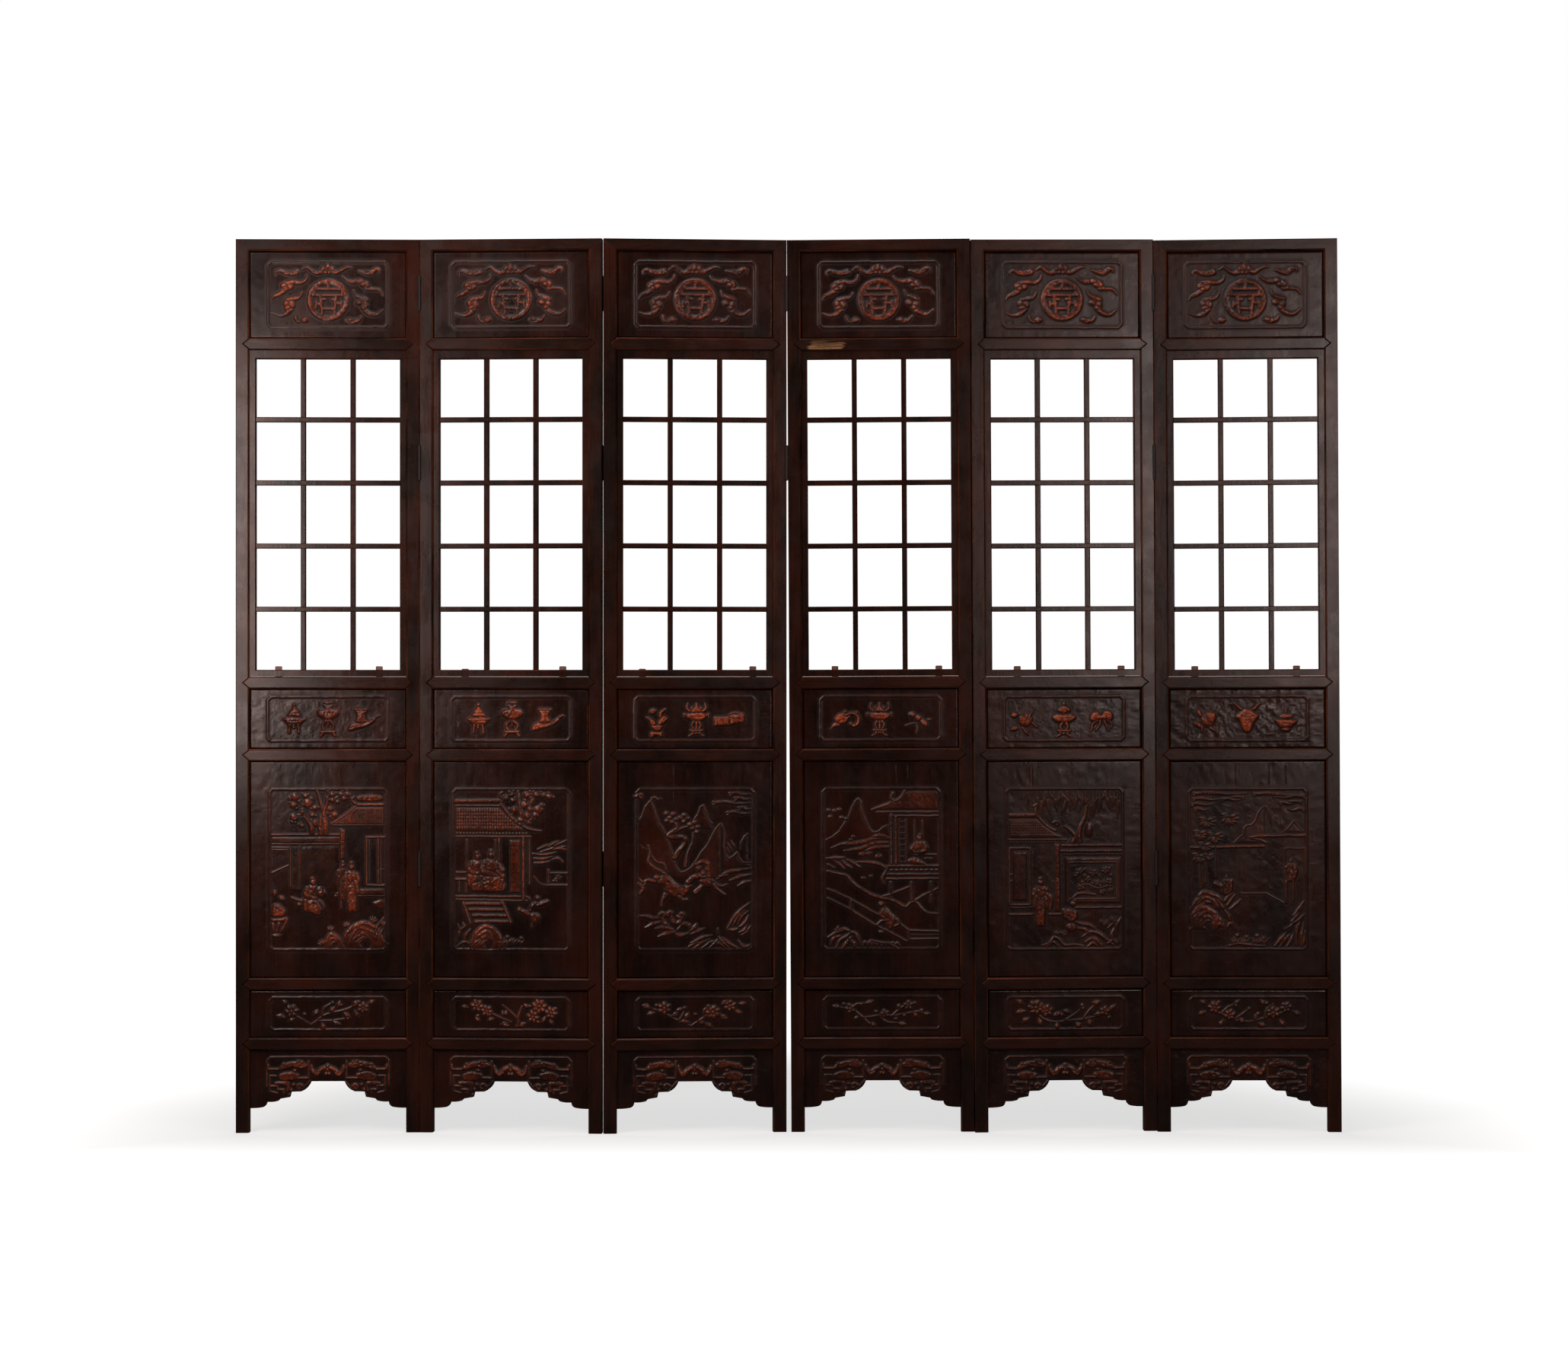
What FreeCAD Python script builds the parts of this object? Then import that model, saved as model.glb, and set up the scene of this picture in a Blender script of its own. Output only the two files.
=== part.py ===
import FreeCAD, Part

import math
import os

# A free-standing folding screen of six framed leaves, in millimetres.
# Each leaf is joinery: two stiles that run to the floor, a mitred top rail, five cross rails with
# pointed shoulders, a lift-out lattice, four carved panels in grooves and an arched apron.
# A leaf is drawn in its own frame: X across, Y from the front face to the back, Z up from the
# floor, with X and Y zero in the middle of the leaf. Then it is set in its place in the row.

V = FreeCAD.Vector

# Frame of one leaf
leaf_width = 410.0
leaf_depth = 30.0
stile_width = 30.0
top_rail_height = 26.0
rail_height = 27.0

# Clear openings of one leaf, from the top down
crest_height = 195.0
lattice_height = 731.0
treasure_height = 135.0
scene_height = 486.0
flower_height = 107.0
foot_height = 185.0

# Mouldings along the edges of the frame
inner_bevel = 3.5
outer_bevel = 1.5
rail_bevel = 3.0

# Joints of the frame
groove_width = 8.0
groove_depth = 8.0
tenon_thickness = 12.0
tenon_length = 20.0
top_tenon_height = 10.0
top_tenon_length = 24.0
shoulder_reach = 16.5
shoulder_thickness = 6.0
joint_gap = 0.1

# Panels
panel_thickness = 14.0
tongue_thickness = 7.6
tongue_length = 6.5
panel_gap = 0.5

# Raised borders of the carved fields
border_width = 7.5
border_height = 1.6
border_corner = 9.0
crest_side_margin = 38.0
crest_margin = 21.0
treasure_side_margin = 37.0
treasure_margin = 15.0
scene_side_margin = 41.0
scene_margin = 60.0
flower_side_margin = 41.0
flower_margin = 14.0

# Longevity roundel on the crest panel
roundel_radius = 47.0
roundel_rim = 8.0
roundel_height = 3.0
roundel_drop = 13.0

# Apron below the last rail
apron_height = 130.5
apron_tongue_stop = 10.0

# Lattice
lattice_side = 14.0
lattice_head = 19.0
lattice_sill = 15.0
lattice_depth = 18.0
lattice_gap = 0.3
lattice_tongue = 4.0
lattice_bevel = 2.0
bar_width = 11.5
bar_depth = 12.0
bar_bevel = 1.6
bar_tenon = 5.0
bar_tenon_width = 7.0
upright_count = 2
level_count = 4

# Locking pegs through the sill of the lattice into the rail below it
peg_width = 15.0
peg_thickness = 8.0
peg_depth = 15.0
peg_gap = 0.3
peg_tip_bevel = 1.5
peg_offsets = ((-111.0, 114.0), (-104.0, 116.0), (-118.0, 130.0),
               (-102.0, 131.0), (-104.0, 130.0), (-116.0, 111.0))
peg_rises = ((8.0, 8.0), (2.5, 8.0), (2.5, 8.0), (8.0, 8.0), (8.0, 8.0), (8.0, 8.0))

# Hinges let into the edges of the stiles
hinge_levels = (1880.0, 1500.0, 590.0)
leaf_gap = 0.12
hinge_proud = 1.0
plate_height = 75.0
plate_reach = 20.0
plate_thickness = 1.8
knuckle_radius = 3.2
pin_radius = 1.7
pin_clearance = 0.05
pin_head_radius = 2.6
pin_head_height = 2.0
hinge_running_gap = 0.4
screw_radius = 1.5
screw_head_radius = 3.0
screw_length = 12.0
screw_row = 12.0
screw_spacing = 50.0
wood_relief = 0.5

# How the six leaves stand: turn of each leaf seen from above, and its lean to the left in its own
# plane, both in degrees. Positive turns carry the right end of a leaf away from the viewer.
leaf_turns = (1.5, -3.5, 4.5, -1.5, 2.0, -3.0)
leaf_leans = (0.0, 0.0, 0.0, 0.3, 0.3, 0.3)
middle_leaf = 2

# Seams between neighbours: the side of the knuckles, and how many hinges from the top down
FRONT = -1
BACK = 1
seam_sides = (FRONT, BACK, FRONT, BACK, FRONT)
seam_hinges = (3, 3, 2, 3, 3)

# Worked out from the sizes above
half_width = leaf_width / 2
half_opening = half_width - stile_width
half_depth = leaf_depth / 2
rail_5_base = foot_height
flower_base = rail_5_base + rail_height
rail_4_base = flower_base + flower_height
scene_base = rail_4_base + rail_height
rail_3_base = scene_base + scene_height
treasure_base = rail_3_base + rail_height
rail_2_base = treasure_base + treasure_height
lattice_base = rail_2_base + rail_height
rail_1_base = lattice_base + lattice_height
crest_base = rail_1_base + rail_height
top_rail_base = crest_base + crest_height
leaf_height = top_rail_base + top_rail_height
rail_tenon_height = rail_height - 2 * groove_depth
rail_bases = (rail_1_base, rail_2_base, rail_3_base, rail_4_base, rail_5_base)

# Each groove in the stiles, as the low and high end of the opening that it serves
grooved_openings = (
    (crest_base, crest_height),
    (treasure_base, treasure_height),
    (scene_base, scene_height),
    (flower_base, flower_height),
)

# Lower edge of the apron, as shares of half the opening and of the apron's height, from the middle
# outwards. A point marked round is reached by an arc that sags by the share given.
apron_edge_shares = (
    (0.212, 0.54, 0.0),
    (0.342, 0.715, 0.03),
    (0.468, 0.72, 0.0),
    (0.484, 0.81, 0.0),
    (0.604, 0.838, 0.0),
    (0.628, 0.872, 0.0),
    (0.776, 0.893, 0.012),
    (0.842, 0.986, 0.025),
    (1.0, 1.0, 0.006),
)

# Bars of the longevity sign in the roundel, as shares of its inner radius:
# left, right, low, high
sign_bar_shares = (
    (-0.62, 0.62, 0.42, 0.56),
    (-0.95, 0.95, 0.05, 0.21),
    (-0.07, 0.07, 0.21, 0.85),
    (-0.32, -0.2, -0.85, 0.05),
    (0.2, 0.32, -0.85, 0.05),
    (-0.72, -0.32, -0.2, -0.08),
    (0.32, 0.72, -0.2, -0.08),
    (-0.2, 0.2, -0.58, -0.46),
)


def block(x_low, x_high, y_low, y_high, z_low, z_high):
    """A box between two corners."""
    corner = V(x_low, y_low, z_low)
    return Part.makeBox(x_high - x_low, y_high - y_low, z_high - z_low, corner)


def board(points, y_front, y_back):
    """An outline of (x, z) points that stands upright, given a thickness in Y."""
    corners = [V(x, y_front, z) for x, z in points]
    wire = Part.makePolygon(corners + corners[:1])
    return Part.Face(wire).extrude(V(0, y_back - y_front, 0))


def column(points, z_low, z_high):
    """An outline of (x, y) points carried up from one level to another."""
    corners = [V(x, y, z_low) for x, y in points]
    wire = Part.makePolygon(corners + corners[:1])
    return Part.Face(wire).extrude(V(0, 0, z_high - z_low))


def beam(points, x_low, x_high):
    """An outline of (y, z) points carried across from one X to another."""
    corners = [V(x_low, y, z) for y, z in points]
    wire = Part.makePolygon(corners + corners[:1])
    return Part.Face(wire).extrude(V(x_high - x_low, 0, 0))


def corner_strip(u, v, u_step, v_step):
    """The triangle that a bevel takes off a corner at (u, v)."""
    return [(u, v), (u + u_step, v), (u, v + v_step)]


def grown(low, high, margin):
    """A stretch that is longer by the margin at both ends."""
    return low - margin, high + margin


def shoulder_outline(base, margin):
    """Face of a cross rail with a pointed end on each stile."""
    low, high = grown(base, base + rail_height, margin)
    middle = base + rail_height / 2
    reach = half_opening + shoulder_reach + margin
    return [(-reach, middle), (-half_opening, low), (half_opening, low),
            (reach, middle), (half_opening, high), (-half_opening, high)]


def rail_tenon(base, side, margin):
    """Tenon of a cross rail in one stile."""
    low, high = grown(base + groove_depth, base + groove_depth + rail_tenon_height, margin)
    front, back = grown(-tenon_thickness / 2, tenon_thickness / 2, margin)
    ends = sorted((side * half_opening, side * (half_opening + tenon_length + margin)))
    return block(ends[0], ends[1], front, back, low, high)


def top_tenon(side, margin):
    """Tenon of the top rail in the mitred end of a stile."""
    low = top_rail_base + groove_depth
    low, high = grown(low, low + top_tenon_height, margin)
    front, back = grown(-tenon_thickness / 2, tenon_thickness / 2, margin)
    ends = sorted((side * half_opening, side * (half_opening + top_tenon_length + margin)))
    return block(ends[0], ends[1], front, back, low, high)


def make_stile(side):
    """One upright, from the floor to the mitre at the top, with its mortises and grooves."""
    inner = side * half_opening
    outer = side * half_width
    stile = board(
        [(inner, 0), (outer, 0), (outer, leaf_height), (inner, top_rail_base)],
        -half_depth, half_depth)
    cuts = []
    for face in (FRONT, BACK):
        y = face * half_depth
        cuts.append(column(
            corner_strip(inner, y, side * inner_bevel, -face * inner_bevel), 0, leaf_height))
        cuts.append(column(
            corner_strip(outer, y, -side * outer_bevel, -face * outer_bevel), 0, leaf_height))
    for base, height in grooved_openings:
        low, high = grown(base, base + height, groove_depth)
        ends = sorted((inner, inner + side * groove_depth))
        cuts.append(block(ends[0], ends[1], -groove_width / 2, groove_width / 2, low, high))
    ends = sorted((inner, inner + side * groove_depth))
    apron_groove_low = foot_height - apron_height + apron_tongue_stop - panel_gap
    cuts.append(block(ends[0], ends[1], -groove_width / 2, groove_width / 2,
                      apron_groove_low, foot_height + groove_depth))
    for base in rail_bases:
        cuts.append(rail_tenon(base, side, joint_gap))
        cuts.append(board(shoulder_outline(base, joint_gap),
                          -half_depth, shoulder_thickness - half_depth + joint_gap))
    cuts.append(top_tenon(side, joint_gap))
    return stile.cut(cuts)


def rail_groove(level, upward, reach):
    """Groove along one edge of a rail, into the rail from the level of its edge."""
    low, high = sorted((level, level + upward * groove_depth))
    return block(-reach, reach, -groove_width / 2, groove_width / 2, low, high)


def make_top_rail():
    """Mitred rail over the crest panel."""
    rail = board(
        [(-half_width, leaf_height), (half_width, leaf_height),
         (half_opening, top_rail_base), (-half_opening, top_rail_base)],
        -half_depth, half_depth)
    rail = rail.fuse([top_tenon(side, 0) for side in (-1, 1)])
    cuts = [rail_groove(top_rail_base, 1, half_opening + groove_depth)]
    for face in (FRONT, BACK):
        y = face * half_depth
        cuts.append(beam(corner_strip(y, top_rail_base, -face * inner_bevel, inner_bevel),
                         -half_opening - inner_bevel, half_opening + inner_bevel))
        cuts.append(beam(corner_strip(y, leaf_height, -face * outer_bevel, -outer_bevel),
                         -half_width, half_width))
    return rail.cut(cuts).removeSplitter()


def make_cross_rail(base, groove_above, groove_below, pegs):
    """Cross rail with tenons, pointed front shoulders and grooves for its neighbours."""
    rail = block(-half_opening, half_opening, -half_depth, half_depth, base, base + rail_height)
    face = board(shoulder_outline(base, 0), -half_depth, shoulder_thickness - half_depth)
    rail = rail.fuse([face] + [rail_tenon(base, side, 0) for side in (-1, 1)]).removeSplitter()
    front_edges = [e for e in rail.Edges if all(v.Y < -half_depth + joint_gap for v in e.Vertexes)]
    rail = rail.makeChamfer(rail_bevel, front_edges)
    cuts = []
    if groove_above:
        cuts.append(rail_groove(base + rail_height, -1, half_opening))
    if groove_below:
        cuts.append(rail_groove(base, 1, half_opening))
    for z, step in ((base, 1), (base + rail_height, -1)):
        cuts.append(beam(corner_strip(half_depth, z, -outer_bevel, step * outer_bevel),
                         -half_opening, half_opening))
    for x in pegs:
        cuts.append(peg_hole(x, base + rail_height - peg_depth - peg_gap, base + rail_height))
    return rail.cut(cuts)


def peg_hole(x, z_low, z_high):
    """Room for one locking peg."""
    left, right = grown(x - peg_width / 2, x + peg_width / 2, peg_gap)
    front, back = grown(-peg_thickness / 2, peg_thickness / 2, peg_gap)
    return block(left, right, front, back, z_low, z_high)


def make_rails(pegs):
    """The top rail and the five cross rails of one leaf."""
    return [
        make_top_rail(),
        make_cross_rail(rail_1_base, True, True, ()),
        make_cross_rail(rail_2_base, False, True, pegs),
        make_cross_rail(rail_3_base, True, True, ()),
        make_cross_rail(rail_4_base, True, True, ()),
        make_cross_rail(rail_5_base, True, True, ()),
    ]


def cut_corner_outline(half_x, low, high, corner):
    """A rectangle with its corners cut off."""
    return [(-half_x + corner, low), (half_x - corner, low),
            (half_x, low + corner), (half_x, high - corner),
            (half_x - corner, high), (-half_x + corner, high),
            (-half_x, high - corner), (-half_x, low + corner)]


def field_border(half_x, low, high):
    """Raised strip round a carved field, on the front of a panel."""
    ground = -panel_thickness / 2
    outside = board(cut_corner_outline(half_x, low, high, border_corner),
                    ground - border_height, ground)
    inside = board(
        cut_corner_outline(half_x - border_width, low + border_width, high - border_width,
                           border_corner - border_width / 2),
        ground - border_height, ground)
    return outside.cut(inside)


def make_panel(base, height, side_margin, margin):
    """Panel with tongues all round and the raised border of its carved field."""
    half_x = half_opening - panel_gap
    low, high = base + panel_gap, base + height - panel_gap
    body = block(-half_x, half_x, -panel_thickness / 2, panel_thickness / 2, low, high)
    reach = half_opening + tongue_length
    tongue = block(-reach, reach, -tongue_thickness / 2, tongue_thickness / 2,
                   base - tongue_length, base + height + tongue_length)
    border = field_border(half_opening - side_margin, base + margin, base + height - margin)
    return body.fuse([tongue, border]).removeSplitter()


def make_roundel():
    """Ring with the bars of the longevity sign, raised from the crest panel."""
    ground = -panel_thickness / 2
    middle = V(0, ground, crest_base + crest_height / 2 - roundel_drop)
    inner_radius = roundel_radius - roundel_rim
    outside = Part.makeCylinder(roundel_radius, roundel_height, middle, V(0, -1, 0))
    inside = Part.makeCylinder(inner_radius, roundel_height, middle, V(0, -1, 0))
    bars = []
    for left, right, low, high in sign_bar_shares:
        bars.append(block(
            left * inner_radius, right * inner_radius,
            ground - roundel_height, ground,
            middle.z + low * inner_radius, middle.z + high * inner_radius))
    sign = bars[0].fuse(bars[1:]).common(inside)
    return outside.cut(inside).fuse(sign)


def make_crest_panel():
    """Crest panel with its border and roundel."""
    panel = make_panel(crest_base, crest_height, crest_side_margin, crest_margin)
    return panel.fuse(make_roundel()).removeSplitter()


def apron_lower_edge():
    """Lines and arcs of the apron's lower edge, from the left stile to the right one."""
    right = [(x * half_opening, foot_height - z * apron_height, sag * apron_height)
             for x, z, sag in apron_edge_shares]
    inset = half_opening - panel_gap
    right = [(min(x, inset), z, sag) for x, z, sag in right]
    left = []
    for i in range(len(right) - 1, -1, -1):
        x, z, _ = right[i]
        came_from = right[i + 1][2] if i + 1 < len(right) else 0
        left.append((-x, z, came_from))
    return left + right


def make_apron():
    """Board with a stepped arch below, grooved into the stiles and the last rail."""
    route = apron_lower_edge()
    edges = []
    y = -panel_thickness / 2
    for (x0, z0, _), (x1, z1, sag) in zip(route, route[1:]):
        start, end = V(x0, y, z0), V(x1, y, z1)
        if sag:
            middle = (start + end) / 2
            across = (end - start).normalize()
            normal = V(across.z, 0, -across.x)
            edges.append(Part.Arc(start, middle + normal * sag, end).toShape())
        else:
            edges.append(Part.LineSegment(start, end).toShape())
    top = foot_height - panel_gap
    first, last = V(route[0][0], y, route[0][1]), V(route[-1][0], y, route[-1][1])
    corners = [last, V(last.x, y, top), V(first.x, y, top), first]
    for start, end in zip(corners, corners[1:]):
        edges.append(Part.LineSegment(start, end).toShape())
    body = Part.Face(Part.Wire(edges)).extrude(V(0, panel_thickness, 0))
    reach = half_opening + tongue_length
    half_tongue = tongue_thickness / 2
    tongue_low = foot_height - apron_height + apron_tongue_stop
    head = block(-reach, reach, -half_tongue, half_tongue,
                 top - groove_depth, foot_height + tongue_length)
    sides = [block(min(side * reach, side * (half_opening - groove_depth)),
                   max(side * reach, side * (half_opening - groove_depth)),
                   -half_tongue, half_tongue, tongue_low, foot_height + tongue_length)
             for side in (-1, 1)]
    return body.fuse([head] + sides).removeSplitter()


def bar_section(width, depth, bevel):
    """Cross-section of a lattice piece: a bar with its two front corners bevelled."""
    half_w, half_d = width / 2, depth / 2
    return [(-half_w, half_d), (-half_w, bevel - half_d), (bevel - half_w, -half_d),
            (half_w - bevel, -half_d), (half_w, bevel - half_d), (half_w, half_d)]


def upright_bar(x, z_low, z_high):
    """Upright lattice bar with a stub tenon at each end."""
    section = [(x + u, y) for u, y in bar_section(bar_width, bar_depth, bar_bevel)]
    half = bar_tenon_width / 2
    stub = block(x - half, x + half, -half, half, z_low - bar_tenon, z_high + bar_tenon)
    return column(section, z_low, z_high).fuse(stub).removeSplitter()


def level_bar(z, x_low, x_high):
    """Level lattice bar with a stub tenon at each end."""
    section = [(y, z + u) for u, y in bar_section(bar_width, bar_depth, bar_bevel)]
    half = bar_tenon_width / 2
    stub = block(x_low - bar_tenon, x_high + bar_tenon, -half, half, z - half, z + half)
    return beam(section, x_low, x_high).fuse(stub).removeSplitter()


def evenly_spaced(low, high, count, width):
    """Middles of pieces that part a length into equal clear openings."""
    clear = (high - low - count * width) / (count + 1)
    return [low + (i + 1) * clear + (i + 0.5) * width for i in range(count)]


def lattice_inside():
    """Clear inside of the lattice frame: left, right, low and high."""
    half_x = half_opening - lattice_gap
    return (lattice_side - half_x, half_x - lattice_side,
            lattice_base + lattice_gap + lattice_sill,
            rail_1_base - lattice_gap - lattice_head)


def make_lattice(pegs):
    """Mitred frame with uprights and level bars half-lapped over each other."""
    half_x = half_opening - lattice_gap
    low, high = lattice_base + lattice_gap, rail_1_base - lattice_gap
    left, right, inner_low, inner_high = lattice_inside()
    half_d = lattice_depth / 2
    half_tongue = tongue_thickness / 2
    members = [
        board([(-half_x, low), (left, inner_low), (left, inner_high), (-half_x, high)],
              -half_d, half_d),
        board([(half_x, low), (half_x, high), (right, inner_high), (right, inner_low)],
              -half_d, half_d),
        board([(-half_x, low), (half_x, low), (right, inner_low), (left, inner_low)],
              -half_d, half_d),
        board([(-half_x, high), (left, inner_high), (right, inner_high), (half_x, high)],
              -half_d, half_d),
    ]
    tongue = block(left, right, -half_tongue, half_tongue,
                   high - lattice_tongue, high + lattice_tongue)
    members[3] = members[3].fuse(tongue).removeSplitter()
    uprights = [upright_bar(x, inner_low, inner_high)
                for x in evenly_spaced(left, right, upright_count, bar_width)]
    levels = [level_bar(z, left, right)
              for z in evenly_spaced(inner_low, inner_high, level_count, bar_width)]
    bevels = [
        column(corner_strip(left, -half_d, -lattice_bevel, lattice_bevel), low, high),
        column(corner_strip(right, -half_d, lattice_bevel, lattice_bevel), low, high),
        beam(corner_strip(-half_d, inner_low, lattice_bevel, -lattice_bevel), -half_x, half_x),
        beam(corner_strip(-half_d, inner_high, lattice_bevel, lattice_bevel), -half_x, half_x),
    ]
    stubs = uprights + levels
    holes = [peg_hole(x, low, inner_low) for x in pegs]
    for i in range(len(members)):
        cuts = [bevels[i]] + stubs
        if i == 2:
            cuts += holes
        members[i] = members[i].cut(cuts)
    front_halves = [block(left, right, -half_d, 0, bar.BoundBox.ZMin, bar.BoundBox.ZMax)
                    for bar in levels]
    lapped_uprights = [bar.cut(front_halves) for bar in uprights]
    lapped_levels = [bar.cut(lapped_uprights) for bar in levels]
    return members + lapped_uprights + lapped_levels


def make_pegs(offsets, rises):
    """The two locking pegs of one lattice, standing in the rail and the sill."""
    pegs = []
    for x, rise in zip(offsets, rises):
        top = lattice_base + lattice_gap + lattice_sill + rise
        peg = block(x - peg_width / 2, x + peg_width / 2,
                    -peg_thickness / 2, peg_thickness / 2, lattice_base - peg_depth, top)
        tip = [e for e in peg.Edges if all(v.Z > top - joint_gap for v in e.Vertexes)]
        pegs.append(peg.makeChamfer(peg_tip_bevel, tip))
    return pegs


def knuckle_spans(level):
    """Low and high end of the three knuckles of a hinge, from the bottom up."""
    length = (plate_height - 2 * hinge_running_gap) / 3
    start = level - plate_height / 2
    return [(start + i * (length + hinge_running_gap),
             start + i * (length + hinge_running_gap) + length) for i in range(3)]


def hinge_screw(edge, out, into_y, z, margin):
    """Wood screw with a sunk head, driven from the edge of a stile into it."""
    start = V(out * edge, into_y * screw_row, z)
    inward = V(out, 0, 0)
    head = Part.makeCone(screw_head_radius + margin, screw_radius + margin,
                         plate_thickness, start, inward)
    shank = Part.makeCylinder(screw_radius + margin, screw_length + margin, start, inward)
    return head.fuse(shank).removeSplitter()


def hinge_half(level, out, into_y, edge, own, others):
    """One plate with its knuckles, in the frame of the hinge axis with the leaves in line.

    out is the side of the axis that the plate lies on, into_y the way to the wood and edge the
    distance from the axis to the edge of the stile. own and others are spans of knuckles.
    """
    low, high = level - plate_height / 2, level + plate_height / 2
    x_ends = sorted((out * edge, out * (edge + plate_thickness)))
    y_ends = sorted((0, into_y * plate_reach))
    plate = block(x_ends[0], x_ends[1], y_ends[0], y_ends[1], low, high)
    arms = []
    knuckles = []
    for z_low, z_high in own:
        x_ends = sorted((0, out * (edge + plate_thickness)))
        y_ends = sorted((0, into_y * plate_thickness))
        arms.append(block(x_ends[0], x_ends[1], y_ends[0], y_ends[1], z_low, z_high))
        knuckles.append(Part.makeCylinder(knuckle_radius, z_high - z_low, V(0, 0, z_low)))
    rooms = [Part.makeCylinder(knuckle_radius + hinge_running_gap,
                               z_high - z_low + 2 * hinge_running_gap,
                               V(0, 0, z_low - hinge_running_gap)) for z_low, z_high in others]
    bore = Part.makeCylinder(pin_radius + pin_clearance, plate_height, V(0, 0, low))
    screws = [hinge_screw(edge, out, into_y, level + step, 0)
              for step in (-screw_spacing / 2, screw_spacing / 2)]
    half = plate.fuse(arms + knuckles).cut(rooms + [bore] + screws).removeSplitter()
    room = [
        block(*grown(min(out * edge, out * (edge + plate_thickness)),
                     max(out * edge, out * (edge + plate_thickness)), joint_gap),
              *grown(min(0, into_y * plate_reach), max(0, into_y * plate_reach), joint_gap),
              *grown(low, high, joint_gap)),
        Part.makeCylinder(knuckle_radius + wood_relief,
                          plate_height + 2 * (pin_head_height + wood_relief),
                          V(0, 0, low - pin_head_height - wood_relief)),
    ]
    for z_low, z_high in own:
        room.append(block(*grown(min(0, out * (edge + plate_thickness)),
                                 max(0, out * (edge + plate_thickness)), joint_gap),
                          *grown(min(0, into_y * plate_thickness),
                                 max(0, into_y * plate_thickness), joint_gap),
                          *grown(z_low, z_high, joint_gap)))
    room += [hinge_screw(edge, out, into_y, level + step, pin_clearance)
             for step in (-screw_spacing / 2, screw_spacing / 2)]
    return [half] + screws, room


def hinge_pin(level):
    """Loose pin with a round head at each end."""
    low = level - plate_height / 2
    shaft = Part.makeCylinder(pin_radius, plate_height, V(0, 0, low))
    heads = [Part.makeCylinder(pin_head_radius, pin_head_height, V(0, 0, low - pin_head_height)),
             Part.makeCylinder(pin_head_radius, pin_head_height, V(0, 0, low + plate_height))]
    return shaft.fuse(heads).removeSplitter()


def turned(degrees, axis):
    """A placement that only turns."""
    return FreeCAD.Placement(V(0, 0, 0), FreeCAD.Rotation(axis, degrees))


def moved(x, y, z):
    """A placement that only moves."""
    return FreeCAD.Placement(V(x, y, z), FreeCAD.Rotation())


def seam_axis(seam, side):
    """Where the hinge axis of a seam lies in the leaf on its left (side 1) or right (side -1)."""
    return moved(side * (half_width + leaf_gap / 2),
                 seam_sides[seam] * (half_depth + hinge_proud), 0)


def seam_fold(seam):
    """Turn of the right-hand leaf against the left-hand one at rest."""
    return leaf_turns[seam + 1] - leaf_turns[seam]


def seam_lean(seam):
    """Lean of the right-hand leaf against the left-hand one, as a placement about the axis."""
    lean = leaf_leans[seam + 1] - leaf_leans[seam]
    pivot = leaf_height if lean > 0 else 0
    return moved(0, 0, pivot) * turned(-lean, V(0, 1, 0)) * moved(0, 0, -pivot)


def leaned_edge(seam, level):
    """Distance from the axis to the edge of the right-hand leaf at a level."""
    lean = leaf_leans[seam + 1] - leaf_leans[seam]
    pivot = leaf_height if lean > 0 else 0
    return leaf_gap / 2 + abs(math.tan(math.radians(lean)) * (level - pivot))


def lowest_corner(place):
    """Height of the lowest corner of a leaf's feet."""
    return min(place.multVec(V(x, y, 0)).z
               for x in (-half_width, half_width) for y in (-half_depth, half_depth))


def leaf_places():
    """Placement of each leaf and of each seam's hinge axis, built out from the middle leaf."""
    places = [None] * len(leaf_turns)
    axes = [None] * len(seam_sides)
    places[middle_leaf] = turned(leaf_turns[middle_leaf], V(0, 0, 1))
    for seam in range(middle_leaf, len(seam_sides)):
        axes[seam] = places[seam] * seam_axis(seam, 1)
        right = (axes[seam] * turned(seam_fold(seam), V(0, 0, 1)) * seam_lean(seam)
                 * seam_axis(seam, -1).inverse())
        places[seam + 1] = moved(0, 0, -lowest_corner(right)) * right
    for seam in range(middle_leaf - 1, -1, -1):
        axes[seam] = places[seam + 1] * seam_axis(seam, -1) * turned(-seam_fold(seam), V(0, 0, 1))
        places[seam] = axes[seam] * seam_axis(seam, 1).inverse()
    return places, axes


def make_hinges(axes):
    """Hinge pieces of each leaf and the room that they need in its two stiles, all in place."""
    pieces = [[] for _ in leaf_turns]
    rooms = [{-1: [], 1: []} for _ in leaf_turns]
    for seam, axis in enumerate(axes):
        into_y = -seam_sides[seam]
        unfolded = axis * turned(seam_fold(seam), V(0, 0, 1))
        for level in hinge_levels[:seam_hinges[seam]]:
            spans = knuckle_spans(level)
            outer, inner = [spans[0], spans[2]], [spans[1]]
            left, left_room = hinge_half(level, -1, into_y, leaf_gap / 2, outer, inner)
            right, right_room = hinge_half(level, 1, into_y, leaned_edge(seam, level),
                                           inner, outer)
            pieces[seam] += [placed(s, axis) for s in left + [hinge_pin(level)]]
            pieces[seam + 1] += [placed(s, unfolded) for s in right]
            rooms[seam][1] += [placed(s, axis) for s in left_room]
            rooms[seam + 1][-1] += [placed(s, unfolded) for s in right_room]
    return pieces, rooms


def placed(shape, place):
    """A copy of a shape in its place."""
    copy = shape.copy()
    copy.Placement = place * copy.Placement
    return copy


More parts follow.
